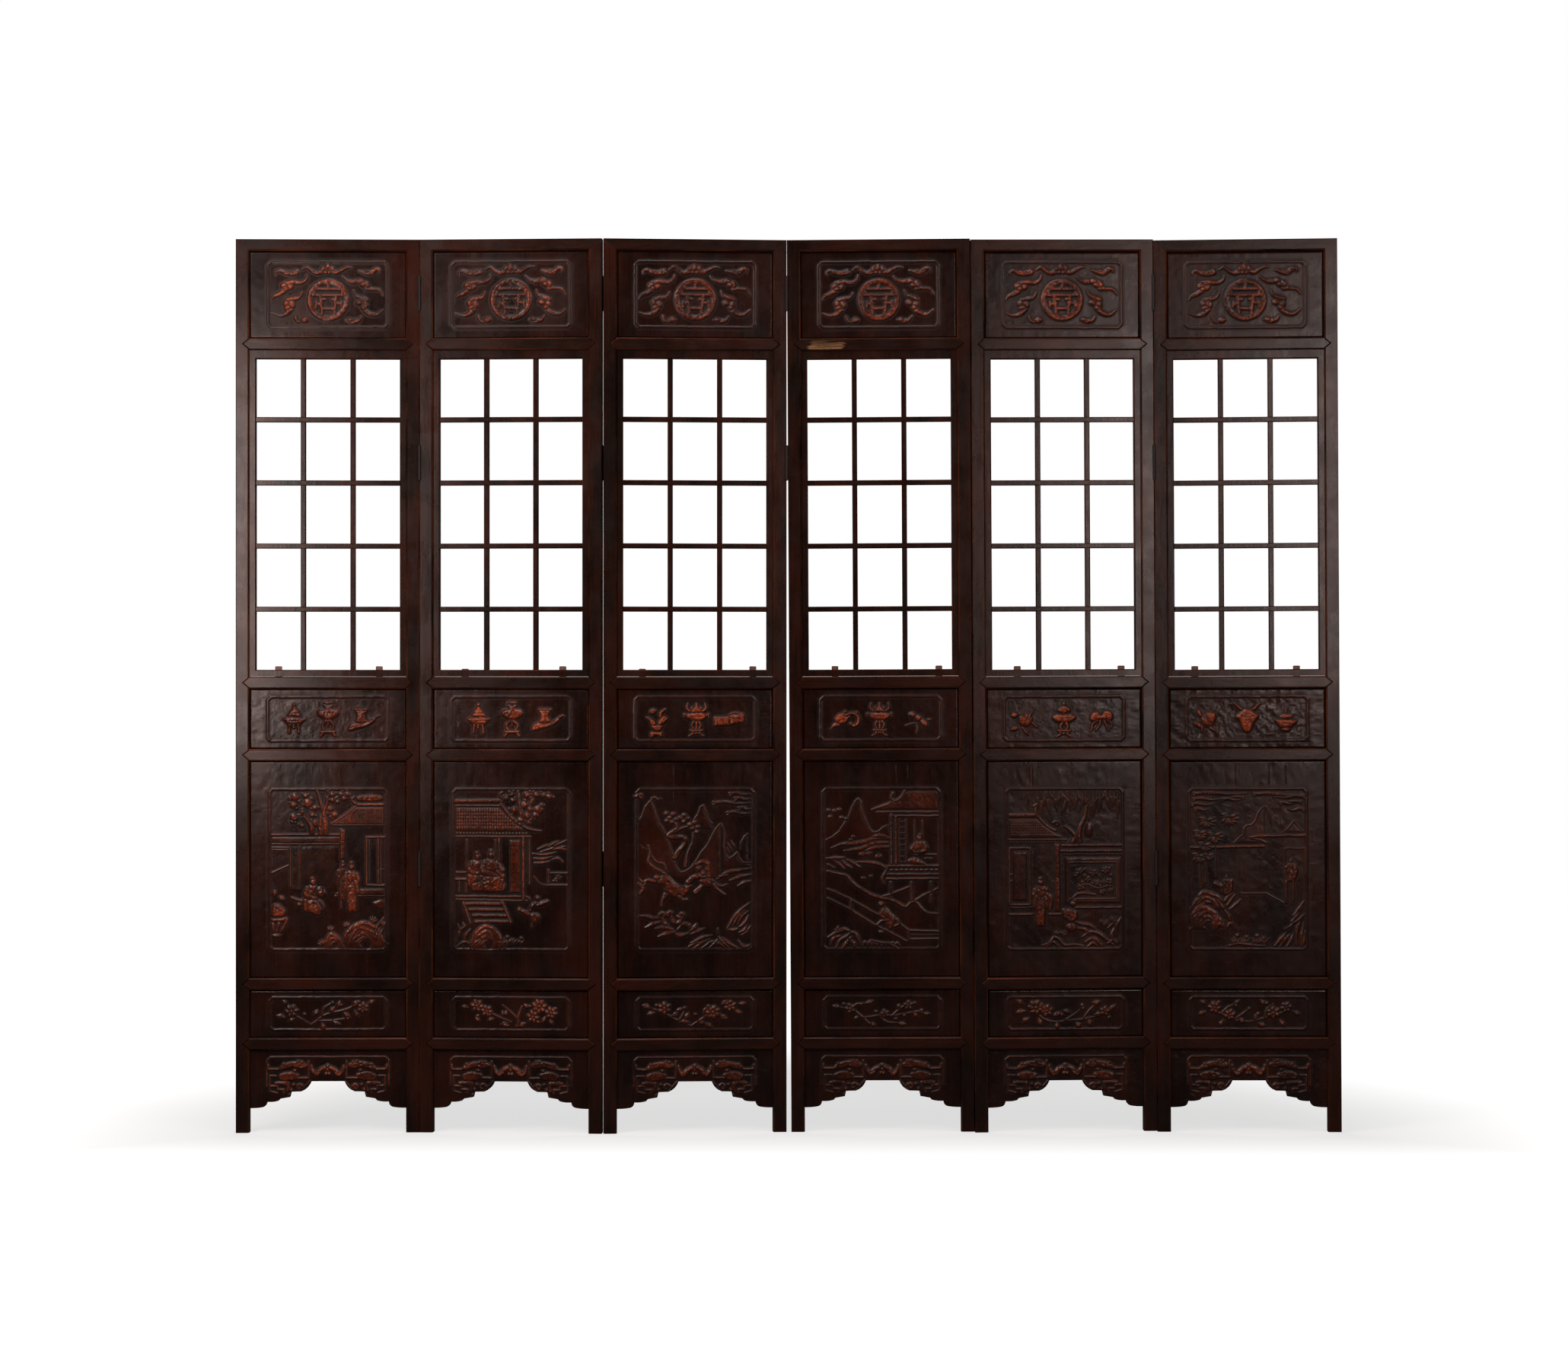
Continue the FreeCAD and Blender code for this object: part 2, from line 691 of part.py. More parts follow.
def make_screen():
    """Every node of the screen, with its solids about the middle leaf."""
    places, axes = leaf_places()
    hinge_pieces, hinge_rooms = make_hinges(axes)
    stiles = {side: make_stile(side) for side in (-1, 1)}
    crest = make_crest_panel()
    treasure = make_panel(treasure_base, treasure_height, treasure_side_margin, treasure_margin)
    scene = make_panel(scene_base, scene_height, scene_side_margin, scene_margin)
    flower = make_panel(flower_base, flower_height, flower_side_margin, flower_margin)
    apron = make_apron()
    nodes = {}
    for i, place in enumerate(places):
        name = "leaf_%d_" % (i + 1)
        cut_stiles = []
        for side in (-1, 1):
            stile = placed(stiles[side], place)
            if hinge_rooms[i][side]:
                stile = stile.cut(hinge_rooms[i][side])
            cut_stiles.append(stile)
        nodes[name + "stiles"] = cut_stiles
        local = {
            "rails": make_rails(peg_offsets[i]),
            "lattice": make_lattice(peg_offsets[i]),
            "crest_panel": [crest],
            "treasure_panel": [treasure],
            "scene_panel": [scene],
            "flower_panel": [flower],
            "apron": [apron],
            "lattice_pegs": make_pegs(peg_offsets[i], peg_rises[i]),
        }
        for key, solids in local.items():
            nodes[name + key] = [placed(s, place) for s in solids]
        nodes[name + "hinge_parts"] = hinge_pieces[i]
    return nodes, places, axes


def main():
    os.makedirs("parts", exist_ok=True)
    nodes, places, axes = make_screen()
    box = Part.makeCompound([s for solids in nodes.values() for s in solids]).BoundBox
    to_origin = moved(-box.Center.x, -box.Center.y, 0)
    for name, solids in nodes.items():
        whole = Part.makeCompound([placed(s, to_origin) for s in solids])
        whole.exportStep(os.path.join("parts", name + ".step"))
    print("size %.1f x %.1f x %.1f" % (box.XLength, box.YLength, box.ZLength))
    return nodes, [to_origin * p for p in places], [to_origin * a for a in axes]


screen_nodes, screen_places, screen_axes = main()
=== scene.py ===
import math
import random

import bpy
import numpy as np
from mathutils import Matrix, Vector


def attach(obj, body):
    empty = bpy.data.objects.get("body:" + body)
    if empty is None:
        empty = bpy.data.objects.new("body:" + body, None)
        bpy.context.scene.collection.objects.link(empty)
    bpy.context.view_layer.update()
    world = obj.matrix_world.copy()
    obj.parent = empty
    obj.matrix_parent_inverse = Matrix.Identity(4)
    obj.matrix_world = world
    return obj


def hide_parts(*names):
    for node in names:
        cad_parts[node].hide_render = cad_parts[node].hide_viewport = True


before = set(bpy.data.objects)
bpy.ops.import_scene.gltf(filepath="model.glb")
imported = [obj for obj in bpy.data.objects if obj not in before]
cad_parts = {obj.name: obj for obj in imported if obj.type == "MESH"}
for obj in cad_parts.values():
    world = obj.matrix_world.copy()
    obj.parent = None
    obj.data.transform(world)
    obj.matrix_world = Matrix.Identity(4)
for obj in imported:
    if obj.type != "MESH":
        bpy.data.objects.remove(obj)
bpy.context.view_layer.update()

# The dressed folding screen: six leaves of worn dark lacquer with carved boards.
# Sizes of the carving are in millimetres, and the scene itself is in metres.
MM = 0.001
leaves = ["leaf_%d" % number for number in range(1, 7)]

# Boards, as the joiner planed them
board_thickness = 14.0
tongue_length = 6.5
tongue_thickness = 7.6

# Margin of each carved field inside its opening: at the sides, then at the ends
margins = {"crest": (38.0, 21.0), "treasure": (37.0, 15.0), "scene": (41.0, 60.0),
           "flower": (41.0, 14.0), "apron": (38.0, 15.0)}

# Raised bead round each carved field, and how much of the rubbing it is spared
bead_width = 6.6
bead_rise = 1.2
bead_corner = 9.0
bead_quiet = 0.6

# How much deeper the finished relief is than its drawing says
relief_depth = 1.25

# Fineness of the carving: the raster it is cut on, the straight pieces to a run of a smooth line,
# and the faces of the finished board, fine over the field and so far beyond it
raster_cell = 0.75
run_pieces = 7
fine_face = 1.2
coarse_face = 5.0
fine_beyond = 2

# The carver's hand: how far lines stray and over what length, facets and waves by height and
# length, the swell that thick forms keep, and the cuts in whatever is raised
knife_radius = 0.45
knife_sway = (0.28, 13.0)
body_height, body_radius, body_swell, body_sink = 3, 2.6, 1.2, 0.45
raised_from, raised_span = 1.4, 1.2
facets = ((0.3, 5.0), (0.12, 2.2))
cut_cells, cut_width, cut_depth = (4.6, 7.5), 0.24, 0.62
gouge_waves = ((0.15, 14.0), (0.06, 5.0))

# Share of those waves in the ground of the boards, some of which were left rougher
board_waves = {"leaf_1_treasure_panel": 0.9, "leaf_5_treasure_panel": 0.8,
               "leaf_6_treasure_panel": 1.5}
crest_waves, other_waves = 0.3, 0.6

# Rubbing by height on high and low forms; edges that stand proud of what is around them, lightened by
# rubbing and a painted highlight; and pits, darkened as painted shade
around_radius = 2.2
high_from, high_span, high_share = 1.3, 1.9, 0.82
low_from, low_span, low_share = 0.45, 0.4, 0.18
edge_from, edge_span = 0.12, 1.1
pit_span = 0.6

# How strongly the raised carving of leaves 1 to 6 is rubbed back to the red wood, which also sets the
# painted highlight on its proud edges
rubs = {
    "crest": (0.8, 0.65, 0.55, 0.7, 0.85, 0.6),
    "treasure": (0.45, 1.0, 1.05, 0.9, 1.0, 0.8),
    "scene": (0.8, 0.7, 0.5, 0.45, 0.5, 0.55),
    "flower": (0.6, 0.8, 0.6, 0.5, 0.7, 0.5),
    "apron": (0.7, 0.6, 0.5, 0.35, 0.45, 0.45),
}

# Lower edge of the apron as shares of half the opening and of the apron's height, with the sag
# of the arc that reaches each point, and how full the arcs are and how far they lean inwards
apron_edge_shares = (
    (0.212, 0.54, 0.0), (0.342, 0.715, 0.03), (0.468, 0.72, 0.0), (0.484, 0.81, 0.0),
    (0.604, 0.838, 0.0), (0.628, 0.872, 0.0), (0.776, 0.893, 0.012), (0.842, 0.986, 0.025),
    (1.0, 1.0, 0.006),
)
arc_fullness = 0.75
arc_lean = 0.7

# Each leaf draws its random values from a seed of its own
first_seed = 40

# Lacquer of the frames and of the carved boards
frame_hues = {"dark": "#0f0603", "red": "#280f08", "bloom": "#1d1311", "rubbed": "#44200f",
              "bare": "#866242"}
# On the carving the bright colour of proud edges is partly rubbing and partly a painted highlight, and
# the pits colour is painted shade in the hollows
carved_hues = {"dark": "#0e0402", "red": "#220b05", "bloom": "#1a1110", "rubbed": "#7a3014",
               "worn_edge_highlight": "#8e4c2c", "pits": "#080404"}

# Patterns of the finishes. The wood's grain and the pegs' fibres are really finer than this, too
# fine to show, so they are drawn this coarse. Blotches and waves run on along the grain.
grain_width = 3.0 * MM
grain_length = 150.0 * MM
blotch_size = 130.0 * MM
bloom_size = 70.0 * MM
wave_size = 28 * MM
along_share, across_share = 0.5, 1.6
rub_width = 52.083 * MM
rub_length = 208.33 * MM
handled_size = 71.43 * MM
speck_size = 6.25 * MM
peg_fibre_width = 1.4286 * MM
peg_fibre_length = 16.667 * MM
scale_size = 6 * MM

# Where rail 1 of leaf 4 is worn to pale wood: across and up, and how wide the patch fades
bare_patch = (0.046, 0.127, 1.756, 1.776)
bare_fade = 0.006

# Camera: width of the picture at the screen's face, and where it stands
photo_width = 3.509
camera_distance = 7.5
face_of_screen = -0.015
eye_level = 1.009
camera_offset = -0.011
sensor = 36.0

# Floor: its glow in the picture, dimmed under the screen as a painted shadow, and where it grows to full
# white, by distance
# # from the middle and by distance in front
floor_reach = 9.0
glow_in_painted_shadow = 0.67
painted_shadow_ends_away = (1.1, 2.0)
painted_shadow_ends_ahead = (0.05, -0.6)


# Where the leaves stand, read from the frame

def flat_direction(mesh, axis):
    """Direction that a board's flat faces look along, near one axis of the frame."""
    normals = np.empty(len(mesh.polygons) * 3)
    areas = np.empty(len(mesh.polygons))
    mesh.polygons.foreach_get("normal", normals)
    mesh.polygons.foreach_get("area", areas)
    normals = normals.reshape(-1, 3)
    facing = normals[:, axis] > 0.99
    return Vector((normals[facing] * areas[facing, None]).sum(0)).normalized()


def corners_in(node, turn):
    """Lowest and highest corner of a node along the axes of a turned leaf."""
    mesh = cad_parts[node].data
    points = np.empty(len(mesh.vertices) * 3)
    mesh.vertices.foreach_get("co", points)
    points = points.reshape(-1, 3) @ np.array(turn)
    return points.min(0), points.max(0)


def leaf_space(leaf):
    """Matrix from a leaf's own axes, across, back and up from the middle of its feet."""
    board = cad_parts[leaf + "_scene_panel"].data
    across, back = flat_direction(board, 0), flat_direction(board, 1)
    turn = Matrix((across, back, across.cross(back))).transposed()
    low, high = corners_in(leaf + "_stiles", turn)
    foot = turn @ Vector(((low[0] + high[0]) / 2, (low[1] + high[1]) / 2, low[2]))
    return Matrix.Translation(foot) @ turn.to_4x4()


def opening_of(node, space, open_below=False):
    """Half the width, the bottom and the top of the opening that a board fills, in mm."""
    low, high = corners_in(node, space.to_3x3())
    foot = (space.to_3x3().transposed() @ space.translation).z
    half = (high[0] - low[0]) / 2 / MM - tongue_length
    bottom = (low[2] - foot) / MM + (0.0 if open_below else tongue_length)
    return half, bottom, (high[2] - foot) / MM - tongue_length


# Carving tools

def flowing(line, closed=False):
    """A smooth run through the points."""
    if len(line) < 3:
        return line
    if closed:
        line = np.vstack([line[-1:], line, line[:2]])
    else:
        line = np.vstack([2 * line[0] - line[1], line, 2 * line[-1] - line[-2]])
    t = np.linspace(0, 1, run_pieces, endpoint=False)[:, None]
    runs = []
    for a, b, c, d in zip(line, line[1:], line[2:], line[3:]):
        runs.append(0.5 * (2 * b + (c - a) * t + (2 * a - 5 * b + 4 * c - d) * t ** 2
                           + (3 * b - a - 3 * c + d) * t ** 3))
    return np.vstack(runs + [line[-2:-1]])


def softened(grid, radius):
    """The grid blurred over a radius given in mm."""
    reach = max(1, int(round(2.5 * radius / raster_cell)))
    weights = np.exp(-0.5 * (np.arange(-reach, reach + 1) * raster_cell / radius) ** 2)
    weights /= weights.sum()
    padded = np.pad(grid, reach, mode="edge")
    rows = sum(w * padded[i:i + grid.shape[0]] for i, w in enumerate(weights))
    return sum(w * rows[:, i:i + grid.shape[1]] for i, w in enumerate(weights))


class Carving:
    """The carved front of one board: how far each spot of a raster stands out, in mm.

    A drawing is made on a sheet of even steps, u to the right and v down, laid over the field.
    """

    def __init__(self, half, height):
        self.x = np.arange(-half, half + raster_cell, raster_cell)
        self.z = np.arange(0.0, height + raster_cell, raster_cell)
        self.rise = np.zeros((self.z.size, self.x.size))
        self.start, self.corner, self.steps = np.zeros(2), np.zeros(2), np.ones(2)
        self.unit = 1.0
        self.bold = 1.0
        self.quiet = 0 * self.rise

    def sheet(self, edges, field):
        """Lays the sheet so that its edges, left, top, right and bottom, meet those of the field."""
        edges, field = np.array(edges, float), np.array(field, float)
        self.start, self.corner = edges[:2], field[:2]
        self.steps = (field[2:] - field[:2]) / (edges[2:] - edges[:2])
        self.unit = float(self.steps.mean())

    def icon(self, u, v, step):
        """Moves the sheet to a small drawing of its own about a point, in steps of so many mm."""
        self.corner = self.place([(u, v)])[0]
        self.start = np.zeros(2)
        self.steps = np.array((step, step))
        self.unit = step

    def place(self, points):
        return self.corner + (np.array(points, float) - self.start) * self.steps

    def window(self, low, high):
        cols = slice(max(0, int((low[0] - self.x[0]) / raster_cell)),
                     max(0, int((high[0] - self.x[0]) / raster_cell) + 2))
        rows = slice(max(0, int(low[1] / raster_cell)), max(0, int(high[1] / raster_cell) + 2))
        return rows, cols

    def depth_of_line(self, line, radii, reach):
        """Depth inside a line with round sides, less than zero outside it."""
        rows, cols = self.window(line.min(0) - reach, line.max(0) + reach)
        depth = np.full((self.z[rows].size, self.x[cols].size), -1e3)
        for a, b, r_a, r_b in zip(line, line[1:], radii, radii[1:]):
            r, c = self.window(np.minimum(a, b) - reach, np.maximum(a, b) + reach)
            x, z = self.x[c] - a[0], (self.z[r] - a[1])[:, None]
            way = b - a
            t = np.clip((x * way[0] + z * way[1]) / max(way @ way, 1e-9), 0, 1)
            away = np.hypot(x - t * way[0], z - t * way[1])
            here = depth[r.start - rows.start:r.stop - rows.start,
                         c.start - cols.start:c.stop - cols.start]
            np.maximum(here, r_a + (r_b - r_a) * t - away, out=here)
        return rows, cols, depth

    def depth_of_outline(self, line, reach):
        """Depth inside a closed outline, less than zero outside it."""
        rows, cols = self.window(line.min(0) - reach, line.max(0) + reach)
        x, z = self.x[cols][None, :], self.z[rows][:, None]
        away = np.full((z.size, x.size), 1e3)
        inside = np.zeros(away.shape, bool)
        for a, b in zip(line, np.roll(line, -1, axis=0)):
            way = b - a
            t = np.clip(((x - a[0]) * way[0] + (z - a[1]) * way[1]) / max(way @ way, 1e-9), 0, 1)
            away = np.minimum(away, np.hypot(x - a[0] - t * way[0], z - a[1] - t * way[1]))
            if a[1] != b[1]:
                inside ^= ((a[1] > z) != (b[1] > z)) & (x < way[0] * (z - a[1]) / way[1] + a[0])
        return rows, cols, np.where(inside, away, -away)

    def lay(self, rows, cols, depth, rise, shoulder, moat):
        """Raises a form with rounded shoulders, and sinks what is round it if it has a moat."""
        ground = self.rise[rows, cols]
        if moat:
            ground *= np.clip(-depth / moat, 0, 1)
        np.maximum(ground, rise * np.sin(np.pi / 2 * np.clip(depth / shoulder, 0, 1)), out=ground)

    def stroke(self, points, width, rise, moat=0.0, closed=False, sharp=False, flat=0.0):
        """A raised line. A width of several numbers swells and tapers along it."""
        line = self.place(points)
        if sharp and closed:
            line = np.vstack([line, line[:1]])
        if not sharp:
            line = flowing(line, closed)
        widths = np.atleast_1d(width) * (1.0 if sharp else self.bold)
        radii = np.interp(np.linspace(0, 1, len(line)), np.linspace(0, 1, len(widths)),
                          widths) * self.unit / 2
        rows, cols, depth = self.depth_of_line(line, radii, radii.max() + moat + raster_cell)
        self.lay(rows, cols, depth, rise, max(radii.max() * (1 - flat), raster_cell), moat)

    def groove(self, points, width, deep, sharp=False):
        """A cut line that sinks into what is raised."""
        line = self.place(points) if sharp else flowing(self.place(points))
        radii = np.full(len(line), width * self.unit / 2)
        rows, cols, depth = self.depth_of_line(line, radii, radii[0] + raster_cell)
        ground = self.rise[rows, cols]
        ground -= np.minimum(deep * np.clip(depth / radii[0], 0, 1), np.maximum(ground, 0) + 0.5)

    def strokes(self, lines, width, rise, moat=0.0):
        for points in lines:
            self.stroke(points, width, rise, moat)

    def grooves(self, lines, width, deep):
        for points in lines:
            self.groove(points, width, deep)

    def form(self, points, rise, shoulder=0.9, moat=0.0, sharp=False):
        """A raised shape within an outline, flowing or straight-sided."""
        line = self.place(points) if sharp else flowing(self.place(points), True)
        rows, cols, depth = self.depth_of_outline(line, moat + raster_cell)
        self.lay(rows, cols, depth, rise, shoulder * self.unit, moat)

    def ribs(self, points, pitch, rise, deep, rows_too=0.0):
        """A raised shape cut into upright ribs, and into courses as well if rows_too is given."""
        line = self.place(points)
        rows, cols, depth = self.depth_of_outline(line, raster_cell)
        x, z = self.x[cols][None, :], self.z[rows][:, None]
        ridge = 0.5 + 0.5 * np.cos(2 * np.pi * x / (pitch * self.unit))
        if rows_too:
            course = 0.5 + 0.5 * np.cos(2 * np.pi * z / (rows_too * self.unit))
            ridge = ridge * (0.45 + 0.55 * course)
        ground = self.rise[rows, cols]
        cover = np.clip(depth / (0.4 * self.unit), 0, 1)
        np.maximum(ground, cover * (rise - deep * (1 - ridge)), out=ground)

    def dome(self, u, v, a, b, rise, angle=0.0, moat=0.0):
        """A round or oval swelling, turned by an angle in degrees."""
        middle = self.place([(u, v)])[0]
        a, b = a * self.unit, b * self.unit
        reach = max(a, b) + moat + raster_cell
        rows, cols = self.window(middle - reach, middle + reach)
        x, z = self.x[cols][None, :] - middle[0], self.z[rows][:, None] - middle[1]
        c, s = math.cos(math.radians(angle)), math.sin(math.radians(angle))
        depth = (1 - np.hypot((x * c + z * s) / a, (z * c - x * s) / b)) * min(a, b)
        self.lay(rows, cols, depth, rise, min(a, b), moat)

    def bead(self, half, top, bottom):
        """The raised bead with cut corners round the field."""
        self.sheet((0, 0, 1, 1), (0, 0, 1, 1))
        inset = bead_width / 2
        x, low, high, cut = half - inset, top + inset, bottom - inset, bead_corner - inset / 2
        outline = [(cut - x, low), (x - cut, low), (x, low + cut), (x, high - cut),
                   (x - cut, high), (cut - x, high), (-x, high - cut), (-x, low + cut)]
        self.stroke(outline, bead_width, bead_rise, closed=True, sharp=True, flat=0.35)
        self.groove(outline + outline[:1], bead_width * 0.16, 0.5, sharp=True)
        self.quiet = np.clip(self.rise / 0.5, 0, 1) * bead_quiet
        return (-x, low, x, high)


# Motifs

def curl(c, u, v, radius, turns, width, rise, start=0.0, way=1):
    """A scroll that winds in towards its middle."""
    steps = max(5, int(8 * abs(turns)))
    points = []
    for i in range(steps + 1):
        share = i / steps
        angle = math.radians(start + way * 360 * turns * share)
        r = radius * (1 - 0.8 * share)
        points.append((u + r * math.cos(angle), v + r * math.sin(angle)))
    c.stroke(points, (width, width * 0.7), rise, 0.5)


def grass(c, u, v, size, blades, rise, lean=0.0, spread=70.0):
    """A tuft of blades that fan out of one root."""
    for i in range(blades):
        angle = math.radians(lean + spread * (i / max(1, blades - 1) - 0.5) * 2)
        length = size * (1.0 - 0.25 * abs(i / max(1, blades - 1) - 0.5))
        tip = (u + length * math.sin(angle), v - length * math.cos(angle))
        middle = ((u + tip[0]) / 2 - 0.08 * length * math.cos(angle), (v + tip[1]) / 2)
        c.stroke([(u, v), middle, tip], (0.7, 1.0, 0.3), rise, 0.3)


def leaf_blade(c, u, v, length, width, angle, rise):
    """A pointed leaf with a cut midrib."""
    turn = math.radians(angle)
    dx, dz = length * math.cos(turn), length * math.sin(turn)
    line = [(u, v), (u + dx / 2 - 0.06 * dz, v + dz / 2 + 0.06 * dx), (u + dx, v + dz)]
    c.stroke(line, (width * 0.25, width, width * 0.12), rise, 0.4)
    c.groove([line[0], line[1], (u + 0.85 * dx, v + 0.85 * dz)], 0.35, rise * 0.4)


def blossom(c, u, v, radius, petals, rise, turn=0.0):
    """A flower of domed petals about a small heart."""
    for i in range(petals):
        angle = math.radians(turn + 360 * i / petals)
        c.dome(u + radius * 0.6 * math.cos(angle), v + radius * 0.6 * math.sin(angle),
               radius * 0.5, radius * 0.36, rise, math.degrees(angle), 0.2)
    c.dome(u, v, radius * 0.28, radius * 0.28, rise * 1.1, 0, 0.3)


def foliage_ball(c, u, v, radius, rise, draw):
    """A round cushion of leaves with a nick or two cut in it."""
    c.dome(u, v, radius, radius * 0.9, rise, 0, 0.7)
    side = draw.uniform(-0.5, 0.5) * radius
    c.groove([(u - radius * 0.7, v + side), (u, v + side * 0.3 + radius * 0.35),
              (u + radius * 0.7, v + side)], 0.5, rise * 0.3)


def cloud(c, u, v, length, rise, way=1, width=2.0):
    """A level bank of cloud with a scroll at one end."""
    c.stroke([(u, v), (u + way * length * 0.3, v - 0.8), (u + way * length * 0.65, v + 0.5),
              (u + way * length, v)], (width, width * 1.1, width * 0.4), rise, 0.5)
    curl(c, u, v - width * 0.2, width * 0.9, 0.8, width * 0.6, rise, 90, -way)


def rock(c, u, v, width, height, folds, rise, draw):
    """A garden rock: a rough bulk with arched folds one inside the other over a hollow."""
    outline = [(u - width * 0.52, v), (u - width * 0.4, v - height * 0.55),
               (u - width * 0.2, v - height * 0.8), (u - width * 0.02, v - height * 1.03),
               (u + width * 0.22, v - height * 0.86), (u + width * 0.38, v - height * 0.52),
               (u + width * 0.52, v)]
    c.form(outline, rise * 0.5, 2.4, 0.9)
    for k in range(folds):
        s = 1 - k / (folds + 0.4)
        jitter = [draw.uniform(-0.09, 0.09) for _ in range(4)]
        points = [(u - width * 0.5 * s, v + 0.3),
                  (u - width * (0.36 + jitter[0]) * s, v - height * 0.6 * s),
                  (u - width * (0.06 + jitter[1]) * s, v - height * (1 + 0.5 * jitter[3]) * s),
                  (u + width * (0.3 + jitter[2]) * s, v - height * 0.66 * s),
                  (u + width * 0.5 * s, v + 0.3)]
        c.stroke(points, (1.4, 2.8, 3.2, 2.4, 1.4), rise * (1.05 - 0.14 * k))
        c.groove([(p + 0.5, q + 1.7) for p, q in points[1:-1]], 1.1, rise * 0.5)
    c.dome(u + width * 0.05, v - height * 0.12, width * 0.12, height * 0.2, 0.0, 0, 1.6)


def crags(c, runs, width, rise):
    """Tapering strokes of a cliff or bank, each given by its own points."""
    c.strokes(runs, (width * 0.4, width, width * 0.35), rise, 0.6)


def ridge(c, points, rise, foot, width=1.3):
    """A mountain: its lit edge, and a low slope down to a level foot."""
    c.form(points + [(points[-1][0], foot), (points[0][0], foot)], rise * 0.35, 2.5, sharp=True)
    c.stroke(points, (width * 0.6, width, width, width * 0.6), rise, 0.4, sharp=True)


def robe(c, u, v, height, sway=0.0, flare=0.26, rise=2.6, sleeves=1):
    """A standing figure in a long robe, seen as a calm outline: head, shoulders, sleeves, folds."""
    h = height
    low = sway * h * 0.7
    c.form([(u - 0.07 * h, v + 0.17 * h), (u + 0.07 * h, v + 0.17 * h), (u + 0.14 * h, v + 0.27 * h),
            (u + 0.12 * h + low * 0.5, v + 0.6 * h), (u + flare * h * 0.62 + low, v + 0.97 * h),
            (u + low, v + 1.01 * h), (u - flare * h * 0.62 + low, v + 0.97 * h),
            (u - 0.12 * h + low * 0.5, v + 0.6 * h), (u - 0.14 * h, v + 0.27 * h)], rise * 0.85, 0.07 * h,
           0.9)
    for side in (-1, 1):
        c.stroke([(u + side * 0.12 * h, v + 0.24 * h), (u + side * 0.13 * h, v + 0.38 * h),
                  (u + side * 0.03 * h * sleeves, v + 0.43 * h)],
                 (0.06 * h, 0.085 * h, 0.06 * h), rise * 1.05, 0.2)
        c.stroke([(u + side * 0.1 * h, v + 0.4 * h), (u + side * 0.14 * h, v + 0.62 * h)],
                 (0.085 * h, 0.05 * h), rise, 0.2)
    for share in (-0.75, -0.25, 0.3, 0.8):
        c.groove([(u + share * 0.07 * h, v + 0.48 * h),
                  (u + share * flare * h * 0.55 + low, v + 0.97 * h)], 0.5, rise * 0.35)
    c.dome(u, v + 0.1 * h, 0.062 * h, 0.078 * h, rise * 1.15, 0, 0.8)
    c.dome(u, v + 0.02 * h, 0.045 * h, 0.04 * h, rise, 0, 0.3)


def seated(c, u, v, height, way=1, rise=2.6):
    """A seated figure in a loose robe: head, rounded back, lap and sleeves."""
    h = height
    c.form([(u - 0.16 * h, v + 0.24 * h), (u + 0.14 * h, v + 0.24 * h), (u + 0.26 * h, v + 0.6 * h),
            (u + way * 0.36 * h, v + 0.82 * h), (u + way * 0.3 * h, v + h), (u - way * 0.24 * h, v + h),
            (u - 0.3 * h, v + 0.62 * h)], rise, 0.1 * h, 0.9)
    c.stroke([(u - way * 0.16 * h, v + 0.3 * h), (u - way * 0.2 * h, v + 0.52 * h),
              (u + way * 0.12 * h, v + 0.6 * h)], (0.1 * h, 0.16 * h, 0.1 * h), rise * 1.15, 0.3)
    c.stroke([(u + way * 0.14 * h, v + 0.3 * h), (u + way * 0.26 * h, v + 0.5 * h),
              (u + way * 0.16 * h, v + 0.6 * h)], (0.08 * h, 0.12 * h, 0.08 * h), rise * 1.1, 0.3)
    for share in (0.0, 0.35, 0.7):
        c.groove([(u - way * 0.1 * h + way * share * 0.2 * h, v + 0.68 * h),
                  (u + way * (share * 0.4 - 0.1) * h, v + 0.96 * h)], 0.5, rise * 0.35)
    c.dome(u, v + 0.13 * h, 0.09 * h, 0.11 * h, rise * 1.15, 0, 0.8)
    c.dome(u - way * 0.02 * h, v + 0.02 * h, 0.06 * h, 0.05 * h, rise, 0, 0.3)


def bars(c, runs, width, rise, moat=0.3):
    """Straight members of a building: posts, rails, sills and copings."""
    for run in runs:
        c.stroke(run, width, rise, moat, sharp=True, flat=0.4)


# Crest: the sign of long life in a roundel among bats, clouds and peaches

